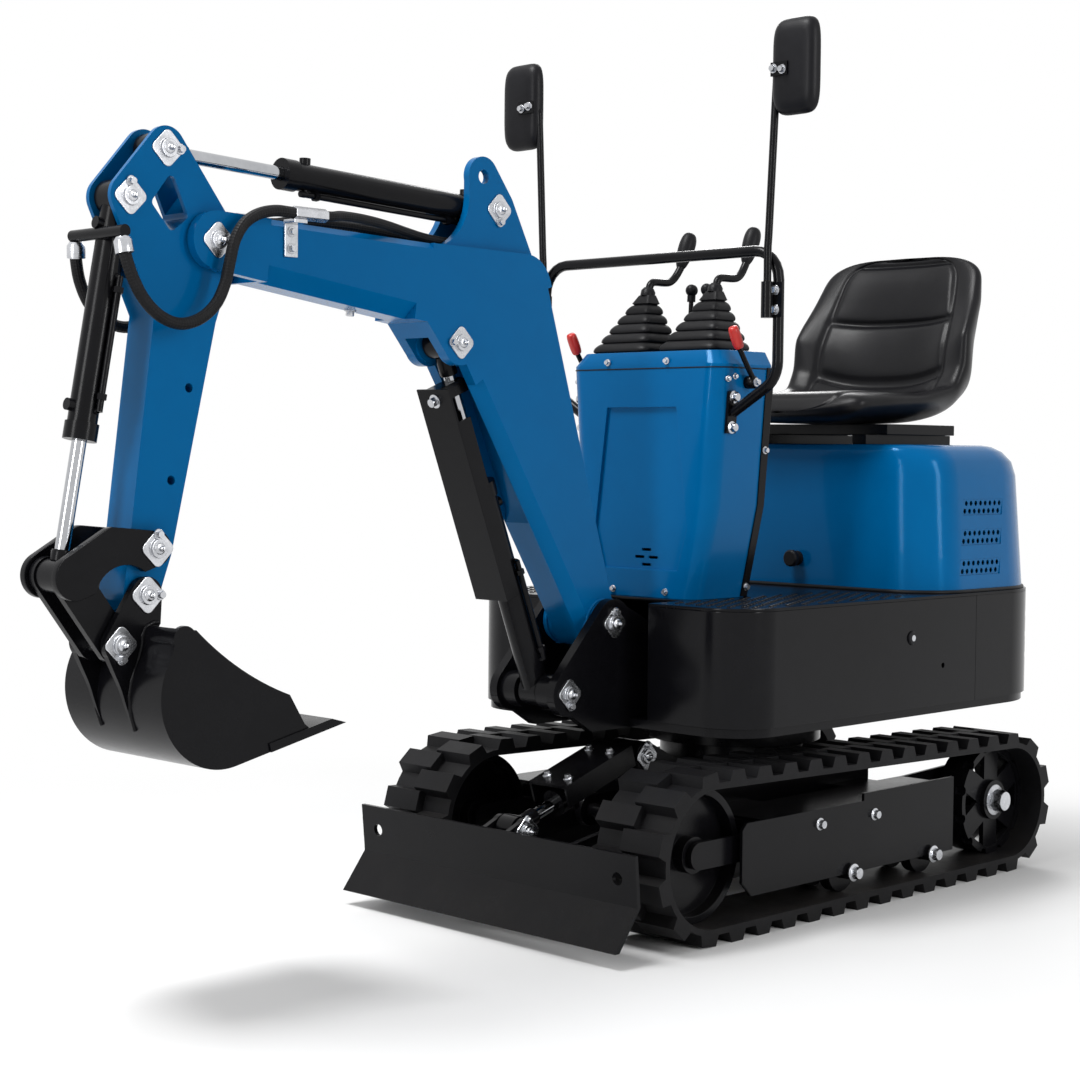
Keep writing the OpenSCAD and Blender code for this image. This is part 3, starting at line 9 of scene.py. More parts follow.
import bmesh
import bpy
import numpy as np
from mathutils import Matrix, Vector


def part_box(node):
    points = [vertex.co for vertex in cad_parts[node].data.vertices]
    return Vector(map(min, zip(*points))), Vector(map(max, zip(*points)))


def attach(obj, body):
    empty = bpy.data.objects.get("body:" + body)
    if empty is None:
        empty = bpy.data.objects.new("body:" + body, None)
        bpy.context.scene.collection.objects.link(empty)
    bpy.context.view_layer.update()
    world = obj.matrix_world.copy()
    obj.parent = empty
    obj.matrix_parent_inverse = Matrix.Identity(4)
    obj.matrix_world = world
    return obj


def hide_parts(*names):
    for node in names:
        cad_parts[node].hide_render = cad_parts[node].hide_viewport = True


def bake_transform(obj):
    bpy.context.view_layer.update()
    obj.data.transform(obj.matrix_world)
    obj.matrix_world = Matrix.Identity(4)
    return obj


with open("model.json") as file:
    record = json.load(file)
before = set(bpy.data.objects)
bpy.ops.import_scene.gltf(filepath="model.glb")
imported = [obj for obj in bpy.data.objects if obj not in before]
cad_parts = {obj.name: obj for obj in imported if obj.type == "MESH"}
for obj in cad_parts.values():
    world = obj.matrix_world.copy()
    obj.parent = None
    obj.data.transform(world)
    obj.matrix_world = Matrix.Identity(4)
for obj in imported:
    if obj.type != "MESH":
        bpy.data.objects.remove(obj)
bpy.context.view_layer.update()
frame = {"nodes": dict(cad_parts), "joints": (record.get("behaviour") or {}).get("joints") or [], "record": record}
JOINT = {joint["name"]: joint for joint in frame["joints"]}
SLOT_OF = {row["node"]: row["material_slot"] for row in frame["record"]["subparts"]}
SLEW_X = JOINT["slew"]["pos_m"][0]
MM = 0.001
TURN = 2 * math.pi


# Places on the machine

def pin(joint):
    """Place of a joint's pin in the side view: X and Z in millimetres."""
    x, _, z = JOINT[joint]["pos_m"]
    return np.array([(x - SLEW_X) / MM, z / MM])


def node_box(node):
    """Lowest and highest corner of a CAD node in millimetres from the slew axis."""
    low, high = (np.array(corner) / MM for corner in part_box(node))
    shift = np.array([SLEW_X / MM, 0, 0])
    return low - shift, high - shift


BOOM_PIN = pin("boom_lift")
STICK_PIN = pin("stick_crowd")
BUCKET_PIN = pin("bucket_curl")
BOOM_CYL_FOOT = pin("boom_cylinder_swing")
STICK_CYL_BASE = pin("stick_cylinder_swing")
BUCKET_CYL_BASE = pin("bucket_cylinder_swing")
ROCKER_PIN = pin("rocker_swing")
LINK_PIN = pin("link_swing")
BLADE_CYL_TOP = pin("blade_cylinder_swing")
BOOM_CYL_HEAD = np.array([795.0, 1023.0])
STICK_CYL_HEAD = np.array([1375.0, 1285.0])
KNEE_PIN = np.array([1541.0, 657.0])
BLADE_CYL_LOW = np.array([612.0, 174.0])


# Shapes: a shape is a pair of arrays, points and four-cornered faces

def unit(vector):
    vector = np.asarray(vector, float)
    return vector / np.linalg.norm(vector, axis=-1, keepdims=True)


def grid(points, wrap_u=False, wrap_v=False):
    """Quads over a grid of points P[u, v]; wrapping joins the last row or column to the first."""
    rows, columns = points.shape[:2]
    index = np.arange(rows * columns).reshape(rows, columns)
    if wrap_u:
        index = np.vstack([index, index[:1]])
    if wrap_v:
        index = np.hstack([index, index[:, :1]])
    faces = np.stack([index[:-1, :-1], index[1:, :-1], index[1:, 1:], index[:-1, 1:]], axis=-1)
    return points.reshape(-1, 3), faces.reshape(-1, 4)


def joined(shapes):
    """Several shapes as one pair of arrays."""
    first = np.cumsum([0] + [len(points) for points, _ in shapes[:-1]])
    return (np.concatenate([points for points, _ in shapes]),
            np.concatenate([faces + start for (_, faces), start in zip(shapes, first)]))


def moved(shape, place, axis=(0, 0, 1), turn=0.0, ahead=(0, 0, 1)):
    """Shape with its Z axis laid along an axis and its X axis as near as may be to a direction ahead."""
    w = unit(axis)
    ahead = np.asarray(ahead if abs(np.dot(w, unit(ahead))) < 0.95 else (1, 0, 0), float)
    u = unit(ahead - np.dot(ahead, w) * w)
    v = np.cross(w, u)
    u, v = math.cos(turn) * u + math.sin(turn) * v, math.cos(turn) * v - math.sin(turn) * u
    points, faces = shape
    return points @ np.stack([u, v, w]) + np.asarray(place, float), faces


def mirrored(shape):
    """Shape on the machine's other side."""
    points, faces = shape
    return points * [1, -1, 1], faces[:, ::-1]


def both_sides(shape):
    return joined([shape, mirrored(shape)])


def revolved(profile, sides=32):
    """Profile of radius and height turned round the Z axis."""
    radius, height = np.asarray(profile, float).T
    angle = np.linspace(0, TURN, sides, endpoint=False)[:, None]
    return grid(np.stack([np.cos(angle) * radius, np.sin(angle) * radius, height + 0 * angle], -1), wrap_u=True)


def curve(points, step=6.0):
    """Smooth line through points: Catmull-Rom pieces, then even steps along their length."""
    p = np.asarray(points, float)
    q = np.vstack([2 * p[0] - p[1], p, 2 * p[-1] - p[-2]])
    t = np.linspace(0, 1, 24, endpoint=False)[:, None]
    a, b, c, d = (q[k:len(q) - 3 + k, None] for k in range(4))
    pieces = 0.5 * (2 * b + (c - a) * t + (2 * a - 5 * b + 4 * c - d) * t ** 2 + (3 * b - a - 3 * c + d) * t ** 3)
    line = np.vstack([pieces.reshape(-1, p.shape[1]), p[-1:]])
    return even(line, step)


def even(line, step):
    """The same line with its points at an even step."""
    run = np.concatenate([[0], np.cumsum(np.linalg.norm(np.diff(line, axis=0), axis=1))])
    places = np.linspace(0, run[-1], max(2, int(run[-1] / step)) + 1)
    return np.stack([np.interp(places, run, column) for column in line.T], 1)


def line_length(line):
    return np.linalg.norm(np.diff(line, axis=0), axis=1).sum()


def rings(path, radius, sides, side_hint):
    """Circles square to a path: P[i, k] = path + radius (cos k side + sin k up)."""
    path = np.asarray(path, float)
    tangent = unit(np.gradient(path, axis=0))
    hint = np.asarray(side_hint, float)
    side = unit(hint - (tangent @ hint)[:, None] * tangent)
    up = np.cross(tangent, side)
    angle = np.linspace(0, TURN, sides, endpoint=False)[None, :, None]
    radius = np.broadcast_to(radius, len(path))[:, None, None]
    return path[:, None] + radius * (np.cos(angle) * side[:, None] + np.sin(angle) * up[:, None])


def tube(path, radius, sides=16, side_hint=(0, 1, 0)):
    """Circle carried along a path, with its ends drawn in to the path."""
    body = rings(path, radius, sides, side_hint)
    path = np.asarray(path, float)
    first = np.broadcast_to(path[0], body[:1].shape)
    last = np.broadcast_to(path[-1], body[:1].shape)
    return grid(np.concatenate([first, body, last]), wrap_v=True)


def tube_uv(count, sides, length):
    """UV corners of a tube's faces: once round in U, metres along in V."""
    along = np.concatenate([[0], np.linspace(0, length, count), [length]])
    u = np.arange(sides + 1) / sides
    corner_u, corner_v = np.meshgrid(u, along)
    uv = np.stack([corner_u, corner_v], -1)
    return np.stack([uv[:-1, :-1], uv[1:, :-1], uv[1:, 1:], uv[:-1, 1:]], 2).reshape(-1, 4, 2)


def hexagon(width, height, bore=0.0):
    """Hexagon head: radius width / 2 over cos(angle within a sixth), chamfered at the top."""
    angle = np.linspace(0, TURN, 24, endpoint=False)[:, None]
    reach = width / 2 / np.cos((angle + math.pi / 6) % (math.pi / 3) - math.pi / 6)
    flat = np.full_like(reach, width * 0.5)
    levels = [(bore + 0 * reach, 0), (reach, 0), (reach, 0.82 * height), (flat, height), (bore + 0 * reach, height)]
    ring = np.concatenate([radius for radius, _ in levels], 1)
    height = np.array([level for _, level in levels]) + 0 * ring
    return grid(np.stack([np.cos(angle) * ring, np.sin(angle) * ring, height], -1), wrap_u=True)


def bolt(place, axis, size=13.0, turn=0.3):
    """Hexagon bolt head on a washer, seated at a place on a face."""
    washer = revolved([(0, -1), (0.82 * size, -1), (0.82 * size, 1.6), (0.78 * size, 2), (0, 2)], 24)
    head = hexagon(size, 0.62 * size)
    head = (head[0] + [0, 0, 2], head[1])
    return moved(joined([washer, head]), place, axis, turn)


def dome(place, axis, radius, height):
    """Low round head: an arc turned round its axis."""
    arc = np.linspace(0, math.pi / 2, 7)
    profile = np.stack([radius * np.cos(arc), height * np.sin(arc)], 1)
    return moved(revolved(np.vstack([[0, -0.5], [radius, -0.5], profile]), 20), place, axis)


def weld(path, radius=3.2, pitch=5.0):
    """Bead of overlapping beads: a tube whose radius swells and shrinks along a path."""
    line = even(np.asarray(path, float), 1.6)
    run = np.arange(len(line)) * 1.6
    swell = radius * (1 + 0.13 * np.abs(np.sin(math.pi * run / pitch)))
    tangent = unit(np.gradient(line, axis=0))
    hint = (0, 1, 0) if np.abs(tangent[:, 1]).max() < 0.9 else (0.3, 0.1, 1)
    return tube(line, swell, 8, hint)


def side_line(points, y):
    """Points of the side view set at one distance from the machine's middle."""
    points = np.asarray(points, float)
    return np.stack([points[:, 0], np.full(len(points), y), points[:, 1]], 1)


def arc_line(middle, radius, start, end, count=24):
    """Arc in the side view, in degrees from the X axis."""
    angle = np.radians(np.linspace(start, end, count))
    return np.asarray(middle) + radius * np.stack([np.cos(angle), np.sin(angle)], 1)


# Pieces

def piece(name, shape, material, body, uv=None, crease=38):
    """Mesh object in the frame's metres, with doubles merged and faces turned outwards; rides on a body."""
    points, faces = shape
    mesh = bpy.data.meshes.new(name)
    place = points * MM + [SLEW_X, 0, 0]
    mesh.from_pydata(place.tolist(), [], faces.tolist())
    if uv is not None:
        mesh.uv_layers.new(name="UVMap").data.foreach_set("uv", uv.astype(np.float32).ravel())
    work = bmesh.new()
    work.from_mesh(mesh)
    bmesh.ops.remove_doubles(work, verts=work.verts, dist=1e-6)
    bmesh.ops.dissolve_degenerate(work, edges=work.edges, dist=1e-7)
    bmesh.ops.recalc_face_normals(work, faces=work.faces)
    work.to_mesh(mesh)
    work.free()
    mesh.shade_smooth()
    mesh.set_sharp_from_angle(angle=math.radians(crease))
    mesh.materials.append(material)
    thing = bpy.data.objects.new(name, mesh)
    bpy.context.scene.collection.objects.link(thing)
    if body:
        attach(thing, body)
    return thing


# Shader node groups

def new_group(name, inputs, outputs):
    tree = bpy.data.node_groups.new(name, "ShaderNodeTree")
    for label, value in inputs.items():
        tree.interface.new_socket(name=label, in_out="INPUT", socket_type="NodeSocketFloat").default_value = value
    for label in outputs:
        tree.interface.new_socket(name=label, in_out="OUTPUT", socket_type="NodeSocketFloat")
    return tree, tree.nodes.new("NodeGroupInput"), tree.nodes.new("NodeGroupOutput")


def math_node(tree, operation, first, second=None):
    node = tree.nodes.new("ShaderNodeMath")
    node.operation = operation
    for socket, value in zip(node.inputs, (first, second)):
        if hasattr(value, "is_output"):
            tree.links.new(value, socket)
        elif value is not None:
            socket.default_value = value
    return node.outputs[0]


def noise_node(tree, vector, scale, detail=2.0):
    node = tree.nodes.new("ShaderNodeTexNoise")
    tree.links.new(vector, node.inputs["Vector"])
    if hasattr(scale, "is_output"):
        tree.links.new(scale, node.inputs["Scale"])
    else:
        node.inputs["Scale"].default_value = scale
    node.inputs["Detail"].default_value = detail
    return node.outputs["Fac"]


def spread(tree, value, low, high):
    """A noise value stretched from its usual band to the band from low to high."""
    node = tree.nodes.new("ShaderNodeMapRange")
    tree.links.new(value, node.inputs["Value"])
    for label, number in (("From Min", 0.3), ("From Max", 0.7)):
        node.inputs[label].default_value = number
    for label, number in (("To Min", low), ("To Max", high)):
        if hasattr(number, "is_output"):
            tree.links.new(number, node.inputs[label])
        else:
            node.inputs[label].default_value = number
    return node.outputs["Result"]


def mottle_group():
    """Soft patches: broad and fine noise on Object coordinates, stretched between Low and High."""
    tree, given, out = new_group("mottle", {"Scale": 6.0, "Low": 0.0, "High": 1.0}, ["Value"])
    place = tree.nodes.new("ShaderNodeTexCoord").outputs["Object"]
    broad = noise_node(tree, place, given.outputs["Scale"], 3.0)
    fine = noise_node(tree, place, math_node(tree, "MULTIPLY", given.outputs["Scale"], 9.0), 2.0)
    mixed = math_node(tree, "ADD", math_node(tree, "MULTIPLY", broad, 0.7), math_node(tree, "MULTIPLY", fine, 0.3))
    tree.links.new(spread(tree, mixed, given.outputs["Low"], given.outputs["High"]), out.inputs["Value"])
    return tree


def skin_group():
    """Fine relief of a coat or a moulding: two layers of noise on Object coordinates."""
    tree, given, out = new_group("skin", {"Scale": 400.0}, ["Height"])
    place = tree.nodes.new("ShaderNodeTexCoord").outputs["Object"]
    coarse = noise_node(tree, place, given.outputs["Scale"], 1.0)
    fine = noise_node(tree, place, math_node(tree, "MULTIPLY", given.outputs["Scale"], 3.1), 2.0)
    tree.links.new(math_node(tree, "ADD", coarse, math_node(tree, "MULTIPLY", fine, 0.5)), out.inputs["Height"])
    return tree


def dust_group():
    """Dust that settles on faces that look up and near the ground: mask from the normal's Z and the height."""
    tree, given, out = new_group("dust", {"Amount": 0.2, "Ceiling": 0.5}, ["Mask"])
    place = tree.nodes.new("ShaderNodeTexCoord").outputs["Object"]
    height = tree.nodes.new("ShaderNodeSeparateXYZ")
    tree.links.new(place, height.inputs[0])
    facing = tree.nodes.new("ShaderNodeSeparateXYZ")
    tree.links.new(tree.nodes.new("ShaderNodeNewGeometry").outputs["Normal"], facing.inputs[0])
    low = math_node(tree, "SUBTRACT", 1.0, math_node(tree, "DIVIDE", height.outputs["Z"], given.outputs["Ceiling"]))
    up = math_node(tree, "MAXIMUM", facing.outputs["Z"], 0.25)
    patch = spread(tree, noise_node(tree, place, 14.0, 4.0), 0.2, 1.0)
    mask = math_node(tree, "MULTIPLY", math_node(tree, "MAXIMUM", low, 0.0), math_node(tree, "MULTIPLY", up, patch))
    tree.links.new(math_node(tree, "MULTIPLY", mask, given.outputs["Amount"]), out.inputs["Mask"])
    return tree


def grain_group():
    """Leather-like grain: distance to the cells of a Voronoi pattern, broken by noise."""
    tree, given, out = new_group("grain", {"Scale": 420.0}, ["Height"])
    place = tree.nodes.new("ShaderNodeTexCoord").outputs["Object"]
    cells = tree.nodes.new("ShaderNodeTexVoronoi")
    cells.feature = "DISTANCE_TO_EDGE"
    tree.links.new(place, cells.inputs["Vector"])
    tree.links.new(given.outputs["Scale"], cells.inputs["Scale"])
    pores = noise_node(tree, place, math_node(tree, "MULTIPLY", given.outputs["Scale"], 1.7), 2.0)
    edge = math_node(tree, "MINIMUM", math_node(tree, "MULTIPLY", cells.outputs["Distance"], 3.0), 1.0)
    tree.links.new(math_node(tree, "ADD", edge, math_node(tree, "MULTIPLY", pores, 0.3)), out.inputs["Height"])
    return tree


def sleeve_group():
    """Woven sleeve on a hose: sin(a) sin(b) of two diagonals of its UV, which runs round and along."""
    tree, given, out = new_group("sleeve", {"Round": 14.0, "Along": 210.0}, ["Height"])
    uv = tree.nodes.new("ShaderNodeSeparateXYZ")
    tree.links.new(tree.nodes.new("ShaderNodeUVMap").outputs["UV"], uv.inputs[0])
    around = math_node(tree, "MULTIPLY", uv.outputs["X"], math_node(tree, "MULTIPLY", given.outputs["Round"], math.pi))
    along = math_node(tree, "MULTIPLY", uv.outputs["Y"], math_node(tree, "MULTIPLY", given.outputs["Along"], math.pi))
    warp = math_node(tree, "SINE", math_node(tree, "ADD", around, along))
    weft = math_node(tree, "SINE", math_node(tree, "SUBTRACT", around, along))
    tree.links.new(math_node(tree, "MULTIPLY", warp, weft), out.inputs["Height"])
    return tree


MOTTLE, SKIN, DUST, GRAIN, SLEEVE = mottle_group(), skin_group(), dust_group(), grain_group(), sleeve_group()
DUST_COLOUR = (0.30, 0.26, 0.21, 1.0)


# Materials

class Finish:
    """A Principled material with its colour, roughness and relief driven by the shared groups."""

    def __init__(self, name, **sockets):
        self.material = bpy.data.materials.new(name)
        self.material.use_nodes = True
        self.tree = self.material.node_tree
        self.shader = self.tree.nodes["Principled BSDF"]
        for label, value in sockets.items():
            self.shader.inputs[label.replace("_", " ")].default_value = value

    def group(self, tree, **values):
        node = self.tree.nodes.new("ShaderNodeGroup")
        node.node_tree = tree
        for label, value in values.items():
            node.inputs[label].default_value = value
        return node.outputs[0]

    def link(self, value, label):
        self.tree.links.new(value, self.shader.inputs[label])

    def colour(self, dark, light, scale=6.0, dust=None):
        """Base colour between two shades in soft patches, under some dust where that is given."""
        mix = self.tree.nodes.new("ShaderNodeMix")
        mix.data_type = "RGBA"
        mix.inputs["A"].default_value = (*dark, 1.0)
        mix.inputs["B"].default_value = (*light, 1.0)
        self.tree.links.new(self.group(MOTTLE, Scale=scale), mix.inputs["Factor"])
        result = mix.outputs["Result"]
        if dust:
            over = self.tree.nodes.new("ShaderNodeMix")
            over.data_type = "RGBA"
            self.tree.links.new(result, over.inputs["A"])
            over.inputs["B"].default_value = DUST_COLOUR
            self.tree.links.new(self.group(DUST, Amount=dust[0], Ceiling=dust[1]), over.inputs["Factor"])
            result = over.outputs["Result"]
        self.link(result, "Base Color")
        return self

    def rough(self, low, high, scale=9.0):
        self.link(self.group(MOTTLE, Scale=scale, Low=low, High=high), "Roughness")
        return self

    def relief(self, tree, strength, distance, **values):
        bump = self.tree.nodes.new("ShaderNodeBump")
        bump.inputs["Strength"].default_value = strength
        bump.inputs["Distance"].default_value = distance
        self.tree.links.new(self.group(tree, **values), bump.inputs["Height"])
        self.link(bump.outputs["Normal"], "Normal")
        return self


def blue_paint():
    finish = Finish("gloss_blue_paint", Specular_IOR_Level=0.20, Specular_Tint=(0.05, 0.50, 1.0, 1.0), Coat_Weight=0.06,
                    Coat_Roughness=0.04)
    finish.colour((0.0, 0.095, 0.266), (0.0, 0.108, 0.296), 3.0).rough(0.16, 0.24)
    return finish.relief(SKIN, 0.03, 0.0002, Scale=260.0).material


def black_paint():
    finish = Finish("satin_black_paint", Specular_IOR_Level=0.13)
    finish.colour((0.0022, 0.0022, 0.0030), (0.0045, 0.0045, 0.0056), 5.0, dust=(0.02, 0.4)).rough(0.18, 0.28)
    return finish.relief(SKIN, 0.08, 0.0003, Scale=520.0).material


def skirt_paint():
    finish = Finish("gloss_black_paint", Specular_IOR_Level=0.15)
    finish.colour((0.0022, 0.0022, 0.0030), (0.0042, 0.0042, 0.0054), 4.0).rough(0.14, 0.22)
    return finish.relief(SKIN, 0.04, 0.0002, Scale=380.0).material


def track_rubber():
    finish = Finish("track_rubber", Specular_IOR_Level=0.13)
    finish.colour((0.0035, 0.0035, 0.0042), (0.0075, 0.0075, 0.0088), 8.0, dust=(0.04, 0.35)).rough(0.44, 0.60)
    return finish.relief(SKIN, 0.22, 0.0006, Scale=330.0).material


def zinc_steel():
    finish = Finish("zinc_plated_steel", Metallic=1.0)
    finish.colour((0.42, 0.43, 0.45), (0.66, 0.67, 0.70), 30.0).rough(0.18, 0.34, 40.0)
    return finish.relief(SKIN, 0.10, 0.0003, Scale=900.0).material


def rod_chrome():
    finish = Finish("chromed_rod", Metallic=1.0)
    finish.colour((0.40, 0.41, 0.43), (0.50, 0.51, 0.53), 12.0).rough(0.07, 0.13, 25.0)
    return finish.relief(SKIN, 0.03, 0.0002, Scale=1400.0).material


def engine_iron():
    finish = Finish("engine_iron")
    finish.colour((0.035, 0.035, 0.038), (0.06, 0.06, 0.064), 20.0).rough(0.55, 0.75)
    return finish.relief(SKIN, 0.3, 0.0008, Scale=300.0).material


def seat_vinyl():
    finish = Finish("seat_vinyl", Specular_IOR_Level=0.17)
    finish.colour((0.0035, 0.0035, 0.0045), (0.0065, 0.0065, 0.0080), 7.0).rough(0.28, 0.38)
    return finish.relief(GRAIN, 0.16, 0.0004, Scale=520.0).material


def black_rubber():
    finish = Finish("black_rubber", Specular_IOR_Level=0.14)
    finish.colour((0.0035, 0.0035, 0.0044), (0.0065, 0.0065, 0.0078), 12.0).rough(0.36, 0.50)
    return finish.relief(SKIN, 0.12, 0.0004, Scale=700.0).material


def hose_sleeve():
    finish = Finish("woven_hose_sleeve", Specular_IOR_Level=0.15)
    finish.colour((0.0040, 0.0040, 0.0046), (0.0090, 0.0090, 0.0100), 40.0).rough(0.46, 0.62)
    return finish.relief(SLEEVE, 0.55, 0.0007).material


def red_plastic():
    finish = Finish("red_lever_plastic")
    finish.colour((0.50, 0.016, 0.012), (0.60, 0.024, 0.017), 20.0).rough(0.26, 0.36)
    return finish.relief(SKIN, 0.05, 0.0003, Scale=600.0).material


def black_plastic():
    finish = Finish("moulded_black_plastic", Specular_IOR_Level=0.14)
    finish.colour((0.0040, 0.0040, 0.0052), (0.0070, 0.0070, 0.0088), 9.0).rough(0.34, 0.46)
    return finish.relief(SKIN, 0.16, 0.0004, Scale=900.0).material


def mirror_glass():
    finish = Finish("mirror_glass", Metallic=1.0)
    finish.colour((0.78, 0.80, 0.81), (0.82, 0.84, 0.85), 4.0).rough(0.02, 0.05)
    return finish.material


PAINT_OF_SLOT = {"blue_paint": blue_paint(), "black_paint": black_paint(), "track_rubber": track_rubber(),
                 "zinc_steel": zinc_steel(), "rod_chrome": rod_chrome(), "engine_iron": engine_iron(),
                 "seat_vinyl": seat_vinyl(), "black_rubber": black_rubber(), "lever_plastic": red_plastic(),
                 "black_plastic": black_plastic()}
BLUE, BLACK, ZINC = (PAINT_OF_SLOT[slot] for slot in ("blue_paint", "black_paint", "zinc_steel"))
RUBBER, PLASTIC, RED = (PAINT_OF_SLOT[slot] for slot in ("black_rubber", "black_plastic", "lever_plastic"))
VINYL = PAINT_OF_SLOT["seat_vinyl"]
SKIRT, SLEEVED, GLASS = skirt_paint(), hose_sleeve(), mirror_glass()


# CAD nodes: softened edges and finishes

SHARP_ANGLE = math.radians(32)


def shading_tree():
    """Geometry nodes that drop stored normals and shade smooth, apart from edges over an angle."""
    tree = bpy.data.node_groups.new("shade_by_angle", "GeometryNodeTree")
    tree.interface.new_socket(name="Geometry", in_out="INPUT", socket_type="NodeSocketGeometry")
    tree.interface.new_socket(name="Geometry", in_out="OUTPUT", socket_type="NodeSocketGeometry")
    given, out = tree.nodes.new("NodeGroupInput"), tree.nodes.new("NodeGroupOutput")
    drop = tree.nodes.new("GeometryNodeRemoveAttribute")
    drop.inputs["Name"].default_value = "custom_normal"
    faces = tree.nodes.new("GeometryNodeSetShadeSmooth")
    faces.domain = "FACE"
    edges = tree.nodes.new("GeometryNodeSetShadeSmooth")
    edges.domain = "EDGE"
    edges.inputs["Shade Smooth"].default_value = False
    angle = tree.nodes.new("GeometryNodeInputMeshEdgeAngle")
    over = tree.nodes.new("FunctionNodeCompare")
    over.operation = "GREATER_THAN"
    over.inputs["B"].default_value = SHARP_ANGLE
    clear = tree.nodes.new("GeometryNodeSetShadeSmooth")
    clear.domain = "EDGE"
    tree.links.new(angle.outputs["Unsigned Angle"], over.inputs["A"])
    tree.links.new(over.outputs["Result"], edges.inputs["Selection"])
    chain = [given, drop, faces, clear, edges, out]
    for before, after in zip(chain, chain[1:]):
        tree.links.new(before.outputs[0], after.inputs[0])
    return tree


SHADE = shading_tree()
MERGE_GAP = 0.00002
FLAT_ANGLE = math.radians(0.8)
ROUND_ANGLE = math.radians(34)
USUAL_EDGE = 1.2
EDGE_OF_NODE = {"boom": 4.0, "stick": 3.0, "bucket": 1.8, "track_left": 2.4, "track_right": 2.4, "deck": 1.6,
                "skirt_left": 1.2, "skirt_right": 1.2, "skirt_rear": 1.2, "console_trim": 1.2, "mirrors": 1.4,
                "rockers": 2.2, "bucket_link": 1.8, "platform": 1.8, "rod_guard": 1.2, "hand_levers": 0.6}


def soften(node):
    """Weld, flat faces joined, edges rounded, shading by angle and normals led by the large faces on a CAD node."""
    thing = frame["nodes"][node]
    weld_step = thing.modifiers.new("weld", "WELD")
    weld_step.merge_threshold = MERGE_GAP
    flat = thing.modifiers.new("flat_faces", "DECIMATE")
    flat.decimate_type = "DISSOLVE"
    flat.angle_limit = FLAT_ANGLE
    round_step = thing.modifiers.new("round_edges", "BEVEL")
    round_step.width = EDGE_OF_NODE.get(node, USUAL_EDGE) * MM
    round_step.segments = 2
    round_step.limit_method = "ANGLE"
    round_step.angle_limit = ROUND_ANGLE
    round_step.use_clamp_overlap = True
    shade = thing.modifiers.new("shade", "NODES")
    shade.node_group = SHADE
    normals = thing.modifiers.new("large_faces_flat", "WEIGHTED_NORMAL")
    normals.keep_sharp = True


for node, thing in frame["nodes"].items():
    coat = SKIRT if node.startswith("skirt") else PAINT_OF_SLOT[SLOT_OF[node]]
    thing.data.materials.clear()
    thing.data.materials.append(coat)
    soften(node)


# Hoses

def hose(name, route, diameter, body, node, blend=None):
    """Sleeved hose on a smooth route between two fittings."""
    step, sides = 5.0, 20
    line = curve(route, step)
    thing = piece(name, tube(line, diameter / 2, sides, (0, 1, 0.3)), SLEEVED, None if blend else body,
                  uv=tube_uv(len(line), sides, line_length(line) * MM))
    if blend:
        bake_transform(thing)
    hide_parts(node)


STICK_HOSE = [(1171, 72, 1205), (1205, 72, 1205), (1238, 72, 1197), (1264, 72, 1180), (1281, 72, 1154),
              (1290, 72, 1122), (1299, 72, 1088), (1316, 72, 1057), (1345, 72, 1034), (1380, 72, 1025),
              (1414, 72, 1034), (1442, 71, 1057), (1460, 68, 1088), (1469, 64, 1118), (1471, 61, 1134)]
BOOM_HOSE = [(1105, 72, 1205), (1090, 71, 1206), (1070, 66, 1209), (1030, 56, 1210), (985, 44, 1209), (940, 32, 1206),
             (895, 22, 1201), (850, 14, 1196), (805, 12, 1193), (760, 12, 1192.5), (720, 12, 1191)]
STICK_HOSE_ACROSS, BOOM_HOSE_ACROSS = 18.0, 16.0
BEND_FROM, BEND_TO = np.array([1250, 72, 1190]), np.array([1400, 72, 1060])
FERRULE_LINE = np.array([(1469.6, 62.6, 1122), (1472.4, 59, 1146)])
ferrule = revolved([(12.2, 0), (13.8, 0), (13.8, 18), (9.5, 24), (0, 24), (0, 21), (12.2, 17), (12.2, 0)], 24)
piece("hose_ferrules", both_sides(moved(ferrule, FERRULE_LINE[0], FERRULE_LINE[1] - FERRULE_LINE[0])), ZINC,
      "bucket_barrel")
for side, label in ((1, "left"), (-1, "right")):
    flip = np.array([1, side, 1])
    hose("stick_hose_" + label, np.array(STICK_HOSE) * flip, STICK_HOSE_ACROSS, "boom", "stick_hoses",
         blend=(BEND_FROM * flip, BEND_TO * flip))
    hose("boom_hose_" + label, np.array(BOOM_HOSE) * flip, BOOM_HOSE_ACROSS, "boom", "boom_hoses")


# Seat

def eased(keys, values, v):
    """Values between keys, rounded off by a short sliding mean."""
    fine = np.linspace(0, 1, 2001)
    window = np.hanning(181)
    padded = np.pad(np.interp(fine, keys, values), 90, mode="edge")
    return np.interp(v, fine, np.convolve(padded, window / window.sum(), "valid"))


def bell(distance, width):
    return np.exp(-(distance / width) ** 2)


